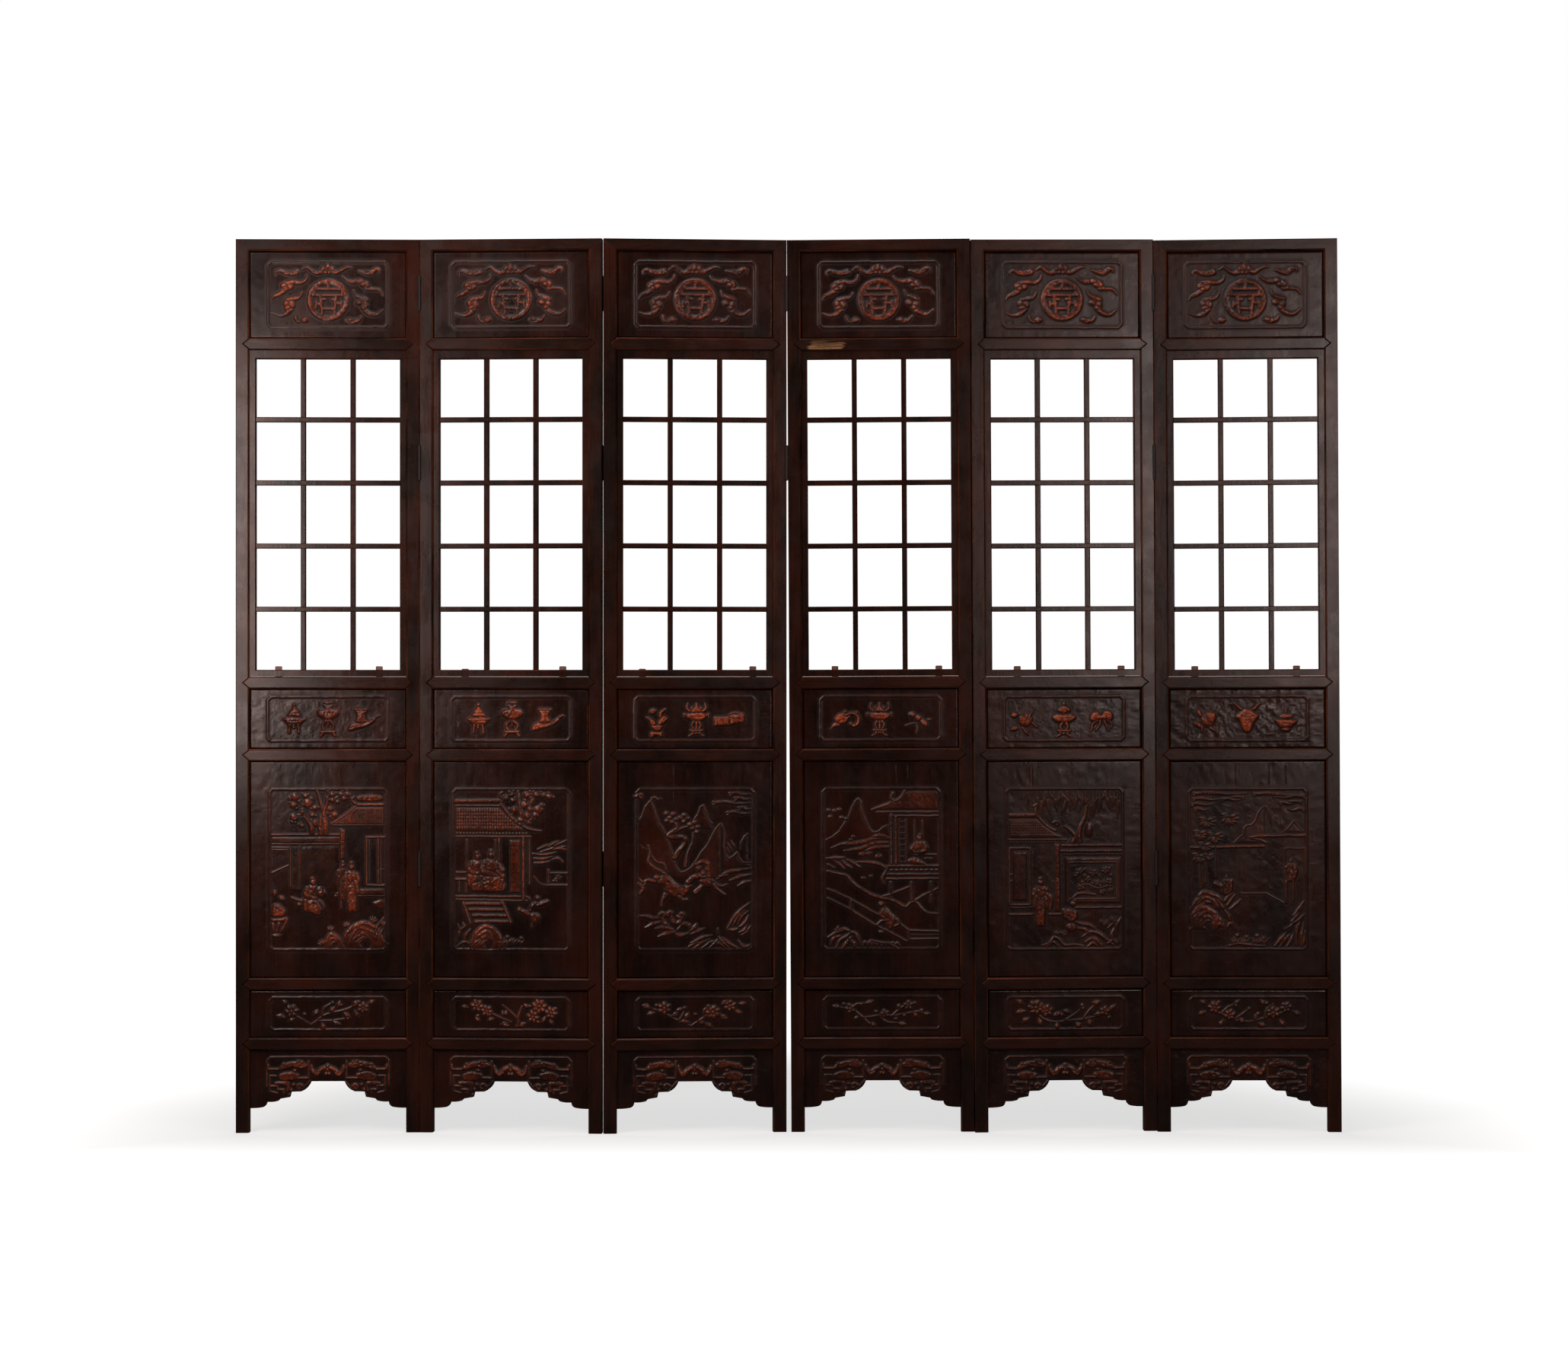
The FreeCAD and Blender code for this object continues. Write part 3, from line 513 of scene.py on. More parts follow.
def carve_crest(c, leaf, field, draw):
    c.sheet((27.8, 19.8, 130.6, 76), field)
    c.bold = 1.7
    heart_u, heart_v = 79.3, 52.2

    def ring(radius, count):
        return [(heart_u + radius * math.cos(a), heart_v + radius * math.sin(a))
                for a in np.linspace(0, 2 * math.pi, count, endpoint=False)]

    c.form(ring(18.6, 40), 0, 1, 1.5, sharp=True)
    c.stroke(ring(16.1, 48), 2.9, 2.5, 0.8, closed=True, flat=0.2)
    c.stroke([(heart_u + (u - heart_u) * 0.86, heart_v + (v - heart_v) * 0.86)
              for u, v in ring(16.1, 48)], 0.8, 1.5, closed=True)
    sign = [[(79.3, 38.6), (79.3, 43)], [(69.5, 43), (89.5, 43)], [(69.8, 40.6), (70.2, 43)],
            [(66.4, 48.2), (92.6, 48.2)], [(67.4, 45.4), (67.6, 48.2)], [(91.6, 45.4), (91.2, 48.2)],
            [(72.3, 48.6), (74.2, 63.8)], [(86.4, 48.6), (84.6, 63.8)],
            [(69, 56.4), (74, 55.2)], [(69.2, 54.2), (69, 58.6)], [(91, 55.6), (85, 54.4)],
            [(90.8, 53.6), (91, 58)], [(74.6, 59.8), (84.4, 59.8)], [(72.6, 51.6), (76.8, 51.9)],
            [(82.8, 51.9), (86.2, 51.5)]]
    bars(c, sign, 2.5, 2.5, 0)
    # The bat over the roundel
    c.stroke([(75, 26.8), (70.5, 29.2), (66, 27.6), (61.2, 24.2), (57.2, 26.4)],
             (3.4, 2.6, 2, 1.3), 3.2, 0.6)
    c.stroke([(82.6, 26), (86.4, 28.6), (91.6, 26.2), (96.2, 24.2), (100.2, 24.4)],
             (3.4, 2.6, 1.8, 0.9), 3.2, 0.6)
    c.dome(78.6, 24.6, 2.6, 3.6, 3.9, 0, 0.5)
    c.dome(74.6, 25.6, 2.2, 2.8, 3.5, 25, 0.3)
    c.dome(83, 25.4, 2.2, 2.8, 3.5, -25, 0.3)
    c.dome(77, 28.8, 1.7, 1.4, 3.6, 0, 0.3)
    c.dome(80.4, 28.9, 1.5, 1.3, 3.5, 0, 0.3)
    # Clouds in the upper corners
    c.stroke([(52.4, 28.4), (47, 29.4), (41.5, 28.6), (37.4, 27.2), (34.6, 28.4), (34.8, 30.4)],
             (3.6, 3, 2, 1.3), 2.9, 0.6)
    c.stroke([(106, 27.2), (111, 28.6), (116, 28.8), (119.6, 26.2), (123.2, 25.8), (123.6, 28.2)],
             (1.4, 3.2, 2.6, 1.4), 2.9, 0.6)
    for u, v in ((43.5, 28.2), (47, 28.6), (50.4, 28), (112.5, 27.4), (115.5, 28.8)):
        c.dome(u, v, 1.4, 1.3, 3.3, 0, 0.25)
    # Bats at the sides, upper pair and lower pair
    wings = [
        ([(61.4, 31.2), (60.4, 34.8), (55.8, 37.6), (49, 37), (42.6, 38.6)], (1.3, 1.9, 2.7, 3)),
        ([(42.6, 43.6), (37.6, 47), (33.2, 48.8), (30.8, 52.2)], (3.2, 2.7, 2, 1)),
        ([(92.2, 32.2), (95.6, 35.4), (100.4, 36.8), (105.4, 36.2)], (1.2, 1.8, 2.7, 3)),
        ([(112.6, 42.2), (117.6, 42.8), (123.4, 43.4), (126.8, 47.6)], (3, 1.9, 1.8, 1)),
        ([(57, 46.2), (54.6, 50.2), (50, 51.2), (44.6, 52.6)], (1.3, 1.9, 2.7, 3)),
        ([(47, 60.2), (43.8, 64), (37.6, 65.8), (31, 63.6)], (3.4, 2.8, 2, 0.9)),
        ([(101.4, 44.2), (103, 48.2), (107.6, 50.4), (112, 52.2)], (1.1, 1.7, 2.7, 3)),
        ([(110, 60.2), (115, 64), (121.4, 64.8), (126.4, 60.8)], (2.8, 2.6, 2, 1)),
    ]
    for points, width in wings:
        c.stroke(points, width, 3.1, 0.6)
        c.groove([points[1], points[len(points) // 2]], 0.45, 1.2)
    for u, v, a, b, angle in ((41.6, 40.6, 2.9, 2.2, 20), (46.4, 41.4, 2.7, 2, -25),
                              (43, 42.8, 2, 1.6, 0), (106.8, 36.4, 2.8, 2.1, 0),
                              (112.4, 39, 2.8, 2.1, 60), (109, 39.4, 2.2, 1.6, 20),
                              (43.6, 55.6, 2.7, 2, 40), (48.2, 56.2, 3, 2.2, 70),
                              (44.6, 59, 2.4, 1.6, -20), (105.6, 54.9, 2.6, 1.8, 20),
                              (111.4, 56.4, 2.7, 2, 80), (109.8, 59.2, 2.1, 1.6, 10)):
        c.dome(u, v, a * 1.35, b * 1.4, 3.8 + draw.uniform(-0.4, 0.4), angle, 0.25)
    # Peaches and a wisp of cloud under the roundel
    c.stroke([(51.2, 66.8), (52.6, 70.4), (55.4, 71.6)], (1.9, 1.6, 1.1), 2.7, 0.5)
    c.dome(59.2, 69.6, 4, 2.8, 3.6, -12, 0.6)
    c.groove([(56, 70.6), (60, 69.8), (62.6, 67.6)], 0.5, 1.2)
    c.stroke([(95.6, 69.4), (100.4, 70.4), (105.2, 70), (108.2, 66.4)], (1.6, 3, 2.4, 1.2), 3, 0.6)
    c.dome(98.6, 69.4, 3.2, 1.9, 3.4, 10, 0.4)


# Treasures on the narrow boards, each drawn in mm about its own middle

def vessel(c, half_profile, rise=4, shoulder=7):
    """A turned or cast pot: the same half outline on both sides."""
    left = [(-x, z) for x, z in reversed(half_profile)]
    c.form(list(half_profile) + left, rise, shoulder, 1.2, sharp=True)


def stand(c, z, width, rise=3.2):
    """A small carved stand with a waist and curled feet."""
    c.stroke([(-width * 0.5, z), (width * 0.5, z)], 4.5, rise, 0.6, sharp=True)
    for side in (-1, 1):
        c.stroke([(side * width * 0.32, z + 3), (side * width * 0.3, z + 8),
                  (side * width * 0.62, z + 13)], (4.5, 4, 3), rise, 0.6)
    c.stroke([(-4, z + 7), (0, z + 5), (4, z + 7)], 3, rise, 0.4)


def tripod_censer(c):
    c.dome(0, -35, 3.6, 4.5, 4.2, 0, 0.8)
    vessel(c, [(2.5, -32), (6, -26), (11, -22), (12, -18), (16, -14), (17, -8), (14, -5)], 4, 6)
    c.groove([(-12, -17), (0, -15.5), (12, -17)], 1.4, 1.4)
    c.form([(-28, -4), (-12, -8), (12, -8), (28, -4), (22, 4), (11, 12), (-11, 12), (-22, 4)], 4.4, 7,
           1.2)
    c.groove([(-21, 0), (0, 2), (21, 0)], 1.6, 1.3)
    for x, bottom in ((-11, 29), (-1, 18), (10, 29)):
        c.stroke([(x * 0.9, 10), (x, (10 + bottom) / 2), (x * 1.05, bottom)], (6.5, 5, 5.5), 3.6, 0.8)


def footed_vase(c):
    c.dome(0, -39, 14, 5.5, 3.8, 0, 1)
    c.groove([(-9, -39), (0, -37), (9, -39)], 1.5, 1.6)
    vessel(c, [(12, -37), (12, -31), (9, -28), (24, -24), (27, -16), (24, -9), (14, -4), (6, 2)],
           4.5, 9)
    c.groove([(-13, -29), (0, -26), (13, -29)], 1.5, 1.3)
    for side in (-1, 1):
        c.stroke([(side * 3, 1), (side * 12, 9), (side * 12, 18), (side * 6, 25)], (7, 5.5, 5.5, 4), 3.5,
                 0.6)
        c.stroke([(side * 11, 29), (side * 17, 37)], (6, 5), 3.5, 0.6)
    c.stroke([(0, 2), (0, 14)], (5, 3), 3.2, 0.4)
    c.stroke([(-15, 27), (15, 27)], 6, 3.6, 0.6, sharp=True)


def cup_on_leaf(c):
    c.form([(-14, -24), (14, -24), (11, -14), (12, -4), (16, 5), (-14, 7), (-12, -4), (-11, -14)], 4.2, 6,
           1.2)
    c.stroke([(-14, -25), (14, -25)], 4.5, 4.4, 0.8, sharp=True)
    c.form([(-32, 24), (-27, 10), (-16, 4), (6, 6), (24, -3), (37, -9), (30, 5), (14, 15), (-8, 21),
            (-20, 25)], 3.8, 7, 1.2)
    c.grooves([[(-28, 20), (-10, 13), (14, 8), (32, -5)], [(-22, 18), (-18, 8)], [(-2, 18), (4, 9)],
               [(12, 13), (18, 4)]], 1.4, 1.5)
    c.stroke([(33, -6), (41, -11), (45, -9)], (5, 3), 3.2, 0.6)


def potted_plant(c):
    c.dome(-9, -20, 10.5, 8, 4, -20, 1)
    c.groove([(-16, -18), (-8, -22), (0, -18)], 1.6, 1.5)
    c.stroke([(8, -8), (10, -17), (20, -26)], (6, 8, 4), 4.2, 0.8)
    c.form([(-26, -8), (-14, -6), (-2, 6), (-4, 14), (-12, 12), (-18, 2)], 4.3, 4, 1)
    c.form([(26, -3), (18, -10), (8, -4), (2, 6), (6, 14), (16, 8)], 4.5, 4, 1)
    c.form([(-12, 12), (14, 12), (10, 22), (2, 25), (-6, 22)], 4.4, 5, 1)
    c.grooves([[(-18, -4), (-6, 8)], [(20, -4), (8, 6)], [(-8, 16), (10, 16)]], 1.5, 1.6)
    c.form([(-15, 27), (14, 27), (13, 31), (15, 39), (8, 39), (5, 36), (-5, 36), (-9, 40), (-16, 40)], 4,
           3, 1, sharp=True)


def plumed_censer(c):
    for x, tip in ((-20, -39), (-10, -31), (10, -31), (20, -39)):
        c.stroke([(x * 0.5, -18), (x * 1.05, -26), (x, tip)], (6, 6, 2.5), 3.8, 0.7)
    vessel(c, [(2, -40), (4, -32), (9, -26), (13, -19), (10, -16)], 4.2, 5)
    c.form([(-26, -13), (-12, -18), (12, -18), (26, -13), (22, -4), (10, 2), (-10, 2), (-22, -4)], 4.4, 7,
           1.2)
    c.groove([(-22, -10), (0, -7), (22, -10)], 1.6, 1.4)
    for side in (-1, 1):
        c.stroke([(side * 22, -10), (side * 29, -15), (side * 28, -7)], (4, 3), 3.3, 0.6)
        c.stroke([(side * 6, 3), (side * 10, 12), (side * 6, 22)], (6, 5, 4), 3.6, 0.6)
    c.stroke([(0, 3), (0, 22)], 5, 3.6, 0.4)
    stand(c, 24, 27)


def book_cases(c):
    for x, z, w, lean in ((-17, 4, 21, -2), (16, -4, 18, 3)):
        c.form([(x - w, z - 11 + lean), (x + w * 0.8, z - 14), (x + w, z - 9), (x + w, z + 9),
                (x - w * 0.9, z + 13 + lean), (x - w, z + 9)], 4.2, 6, 1.4, sharp=True)
        c.groove([(x - w + 3, z - 5 + lean), (x + w - 3, z - 8)], 1.4, 1.3)
        c.groove([(x + w * 0.35, z - 12), (x + w * 0.35, z + 10)], 1.6, 1.4)
    c.stroke([(-2, -13), (12, -17), (30, -14)], (3, 4, 3), 3.4, 0.5)


def ribbon_bundle(c):
    c.form([(-34, 23), (-27, 10), (-14, 2), (-6, 6), (-12, 14), (-24, 17)], 4, 5, 1.2)
    c.form([(-24, -2), (-13, -15), (4, -17), (16, -12), (10, -2), (2, 8), (-14, 10)], 4.3, 6, 1.2)
    c.stroke([(2, -10), (18, -15), (30, -8), (31, 6), (22, 14), (13, 9)], (7, 8, 8, 5), 4.2, 1)
    c.dome(14, -1, 4, 4, 0, 0, 1)
    for u, v in ((1, -19), (28, -16), (14, 9)):
        c.dome(u, v, 4, 4, 4.4, 0, 0.6)
    c.grooves([[(-28, 18), (-14, 6)], [(-18, -4), (-2, -10), (10, -10)], [(-14, 4), (0, -3)]], 1.5, 1.5)


def fruiting_gourd(c):
    c.dome(-13, -11, 10, 6.5, 4, 18, 1)
    c.dome(1, -3, 9, 7.5, 4.3, 35, 1)
    c.dome(14, 8, 12, 6.5, 4.2, 42, 1)
    leaf_blade(c, 20, 0, 12, 5, 0, 3.2)
    c.strokes([[(-30, 14), (-14, 10), (4, 9)], [(-4, 12), (-1, 22), (-6, 33)]], (2.5, 3.4, 1.6), 2.2, 0.6)
    c.groove([(-20, -14), (-6, -8)], 1.4, 1.4)
    c.groove([(6, 0), (20, 12)], 1.4, 1.4)


def peach_rose(c):
    c.dome(0, 0, 17.5, 17, 4.6, 0, 1.2)
    c.stroke([(2, 2), (9, -8), (14, -17)], (4, 6, 3), 5, 0.6)
    c.grooves([[(-10, -12), (-2, 0), (0, 13)], [(-14, -2), (-6, 6), (-4, 14)], [(10, 2), (6, 12)]], 1.6,
              1.7)
    c.form([(-34, -10), (-27, -17), (-19, -12), (-25, -5)], 3.4, 3, 0.8)
    c.form([(-36, 23), (-28, 15), (-18, 18), (-25, 25)], 3.6, 3, 0.8)
    c.stroke([(-8, 19), (-1, 27), (6, 35)], (3, 4, 3), 3.4, 0.6)
    c.stroke([(17, 8), (25, 17)], (5, 4), 3.4, 0.6)


def covered_censer(c):
    c.dome(0, -37, 3.6, 4.6, 4.2, 0, 0.8)
    vessel(c, [(3, -33), (13, -27), (16, -20), (12, -17), (6, -15), (16, -12)], 4.2, 6)
    c.form([(-27, -8), (-14, -13), (14, -13), (27, -8), (24, 0), (12, 7), (-12, 7), (-24, 0)], 4.5, 7,
           1.2)
    c.groove([(-24, -6), (0, -3), (24, -6)], 1.6, 1.4)
    for side in (-1, 1):
        c.stroke([(side * 5, 8), (side * 9, 16), (side * 5, 24)], (6, 5, 4), 3.6, 0.6)
    stand(c, 26, 28)


def bow_knot(c):
    c.form([(-26, 0), (-22, -14), (-8, -18), (0, -10), (8, -20), (22, -18), (27, -4), (18, 4), (0, 0),
            (-16, 4)], 4.2, 6, 1.2)
    c.grooves([[(-22, -8), (-6, -8), (0, -4)], [(22, -10), (8, -10), (2, -4)], [(-14, 2), (-8, -8)],
               [(14, 2), (10, -8)]], 1.5, 1.6)
    c.strokes([[(-8, 2), (-20, 12), (-22, 24), (-26, 28)], [(-2, 2), (-4, 14), (-12, 26)],
               [(6, 2), (12, 14), (18, 26)], [(12, 0), (24, 10), (24, 20)]], (4, 3.5, 1.8), 3.3, 0.6)


def peach_with_leaves(c):
    c.dome(-1, 1, 17, 17.5, 4.8, 0, 1.2)
    c.form([(-6, -16), (6, -18), (16, -16), (17, -4), (12, 8), (-2, 4)], 4.6, 7, 0.8)
    c.groove([(-9, -6), (-7, 0), (-10, 3)], 2.2, 1.9)
    c.form([(-25, -24), (-18, -18), (-15, -8), (-21, -8), (-25, -15)], 3.4, 3, 0.8)
    c.form([(-35, 6), (-26, 5), (-15, 13), (-20, 18), (-30, 13)], 3.4, 3, 0.8)
    c.stroke([(-16, 16), (-14, 29)], (6, 3), 3.2, 0.6)
    c.stroke([(4, 19), (14, 25)], (5, 4), 3, 0.6)


def eared_censer(c):
    for side in (-1, 1):
        c.stroke([(side * 9, -20), (side * 17, -27), (side * 30, -39)], (6, 6, 3), 3.8, 0.8)
    vessel(c, [(7, -26), (14, -20), (26, -12), (27, -5), (19, 2), (15, 10), (12, 22), (5, 30)],
           4.4, 8)
    c.groove([(-24, -10), (0, -6), (24, -10)], 1.6, 1.4)
    c.groove([(-16, 5), (0, 8), (16, 5)], 1.6, 1.4)
    c.groove([(0, 10), (0, 26)], 3, 1.8)


def covered_bowl(c):
    c.stroke([(0, -26), (0, -12)], (3, 5), 3.8, 0.6)
    c.dome(0, -6, 16.5, 8, 4.4, 0, 0.9)
    c.form([(-26, 1), (-15, -1), (15, -1), (26, 1), (20, 11), (11, 19), (-11, 19), (-20, 11)], 4.5, 6,
           1.1)
    c.groove([(-15, -4), (0, -1), (15, -4)], 1.6, 1.5)
    c.groove([(-8, 9), (8, 9)], 2, 1.5)
    c.dome(0, 23.5, 11.5, 5, 4, 0, 0.8)


# What stands on each narrow board, and where across its field
treasures = {
    "leaf_1": ((0.22, tripod_censer), (0.50, footed_vase), (0.775, cup_on_leaf)),
    "leaf_2": ((0.23, tripod_censer), (0.51, footed_vase), (0.785, cup_on_leaf)),
    "leaf_3": ((0.18, potted_plant), (0.51, plumed_censer), (0.79, book_cases)),
    "leaf_4": ((0.20, ribbon_bundle), (0.49, plumed_censer), (0.81, fruiting_gourd)),
    "leaf_5": ((0.18, peach_rose), (0.50, covered_censer), (0.81, bow_knot)),
    "leaf_6": ((0.18, peach_with_leaves), (0.50, eared_censer), (0.82, covered_bowl)),
}


def carve_treasures(c, leaf, field, draw):
    for share, draw_item in treasures[leaf]:
        c.sheet((0, 0, 1, 1), field)
        c.icon(share, 0.53, 0.97)
        draw_item(c)


# Garden scenes and landscapes on the tall boards

def tree_with_balls(c, trunks, balls, draw, rise=2.6):
    for run in trunks:
        c.stroke(run, (2, 3.2, 3.8), rise, 0.7)
        c.groove([(u + 0.5, v) for u, v in run], 0.6, rise * 0.35)
    for u, v, r in balls:
        for _ in range(2):
            turn = draw.uniform(0, 2 * math.pi)
            foliage_ball(c, u + 1.25 * r * math.cos(turn), v + 1.1 * r * math.sin(turn),
                         r * draw.uniform(0.45, 0.65), rise * 0.8, draw)
    for u, v, r in balls:
        foliage_ball(c, u, v, r * 1.12, rise * 1.1, draw)


def scene_courtyard(c, draw):
    """A scholar received before a garden wall."""
    c.ribs([(17, 57), (71.5, 57), (71.5, 61.4), (17, 61.4)], 1.1, 1.7, 0.7)
    bars(c, [[(17, 55), (71.5, 55)]], 1.4, 1.9)
    bars(c, [[(17, 62.4), (71.5, 62.4)], [(17, 65), (31, 65)], [(17, 66.8), (30, 66.8)]], 0.9, 1.4)
    bars(c, [[(31.6, 66), (31.6, 96)], [(17, 85), (30, 79)], [(39, 64), (39, 98)]], 1.1, 1.2)
    c.form([(70.6, 50), (75, 51.5), (75, 74), (70.6, 74)], 1.9, 1.2, 0.5, sharp=True)
    c.form([(33, 64), (70, 64), (70, 100), (33, 100)], 0.5, 3, sharp=True)
    tree_with_balls(
        c, [[(52.6, 21), (55.6, 30), (57.6, 38), (55.4, 45), (55.6, 54)],
            [(61.4, 21), (60.4, 31), (58.2, 38), (59.4, 46), (59.6, 54)],
            [(42.6, 41), (46.4, 45), (48.2, 49), (48.6, 53.4)]],
        [(35.5, 25.6, 3.4), (34, 31.8, 2.8), (45.4, 30.4, 3.8), (34.6, 41.6, 3.2), (51, 34, 2.2),
         (51.4, 46, 3), (64.8, 23.6, 2.6), (71.8, 24, 2.8), (77, 23.6, 2.6), (65.4, 28, 2.4),
         (74, 27, 2.6), (63, 35, 2.8), (66.4, 39.6, 2.6), (41, 37.4, 1.8), (69, 29.4, 1.8),
         (49, 39.6, 2), (43.4, 24.6, 2), (40.6, 48, 2)], draw)
    c.strokes([[(36, 28), (44, 33), (53, 36)], [(36, 40), (43, 39), (47, 44)],
               [(60, 30), (66, 26), (74, 25)], [(59, 40), (64, 38)]], 0.8, 1.4)
    c.form([(85.5, 24.4), (102.6, 24.4), (102.6, 28.8), (85.5, 28.8)], 1.9, 1.5, 0.6)
    c.ribs([(83, 33.6), (105.4, 33.6), (105.4, 47), (65, 47)], 1.35, 2, 1)
    bars(c, [[(82.4, 31.4), (105, 31.4)]], 2, 2.5)
    c.stroke([(83, 31), (80, 28), (82, 25.6)], (2, 1.2), 2.4, 0.5)
    c.stroke([(83.4, 33), (74, 40), (64, 46.6)], (1.2, 1.5, 1.2), 2.6, 0.5)
    bars(c, [[(64, 47.6), (105.4, 47.6)]], 0.9, 1.7)
    bars(c, [[(91.6, 57), (106, 57)], [(91.8, 57), (91.8, 94)], [(101, 58.4), (101, 93)],
             [(92, 94.8), (105.6, 94.8)]], 1.3, 1.9)
    bars(c, [[(94, 59), (94, 92)], [(103.2, 58.4), (103.2, 93)], [(101, 82.4), (105.4, 82.4)]], 0.7, 1.3)
    c.form([(86.4, 97.4), (105.6, 97.4), (105.6, 102.2), (86.4, 102.2)], 1.8, 1.4, 0.5, sharp=True)
    c.form([(67, 102.4), (71.6, 96.2), (73, 102.4)], 1.7, 1.2, 0.5, sharp=True)
    bars(c, [[(67, 103), (105.6, 103)]], 0.8, 1.3)
    c.form([(97, 108), (105.6, 106), (105.6, 113.6), (100, 112.4)], 1.5, 2.4, 0.5)
    robe(c, 73, 76, 30, -0.03, 0.15, 2.2)
    bars(c, [[(71.6, 80), (71.6, 113)]], 0.8, 2.4)
    robe(c, 79.6, 76.4, 39, 0.03, 0.16, 3)
    c.stroke([(76, 85), (75.4, 90), (78, 94)], (2.2, 2.6, 1.6), 3.2, 0.4)
    seated(c, 49.4, 88.6, 27, 1, 2.8)
    c.dome(55.6, 100.4, 4.6, 5.6, 3.1, -20, 0.8)
    c.groove([(52, 99), (55, 104), (59, 103)], 0.6, 1.1)
    c.form([(44.6, 107), (53, 106), (57.6, 114.4), (54, 118.4), (46, 115)], 2.9, 2.5, 0.8)
    c.grooves([[(46, 109), (52, 116.6)], [(49.4, 107.6), (55, 115.4)]], 0.6, 1.2)
    c.stroke([(33, 104.6), (37, 106), (40.6, 106.6), (42, 104)], (1.6, 2, 1.2), 2.3, 0.5)
    c.dome(38.6, 109.6, 2.4, 1.9, 2.6, 0, 0.5)
    c.dome(19, 101, 2, 2.6, 2.7, 0, 0.6)
    c.dome(24.8, 105, 3, 2.4, 3, 20, 0.6)
    c.form([(17, 111), (20.4, 108.6), (25.4, 111), (28.6, 115.6), (25, 119.4), (17, 119)], 3.2, 2.4, 0.7)
    c.groove([(20.6, 109.6), (20.4, 116)], 0.8, 1.4)
    c.strokes([[(18, 122), (24.4, 121.6), (28.6, 121), (26.6, 126.4), (24, 131)],
               [(18, 125), (18.4, 131)], [(22.4, 124.6), (20.8, 131)]], (2.4, 2, 1.6), 2.8, 0.5)
    c.dome(20.6, 134, 4.6, 1.8, 2.6, 0, 0.6)
    rock(c, 90, 143, 34, 19, 4, 2.7, draw)
    rock(c, 66.6, 143, 15, 10, 3, 2.5, draw)
    for u, v, size, lean in ((63.6, 131, 5.4, 0), (58, 142, 6, -30), (77, 128, 5, -20), (96, 124, 6, 25),
                             (104, 127, 6, 30), (100, 131, 5, 60)):
        grass(c, u, v, size, 4, 2.2, lean, 38)
    crags(c, [[(105.4, 120), (100, 127), (98, 134)], [(105.4, 128), (102, 134), (101, 142)]], 1.8, 2.4)


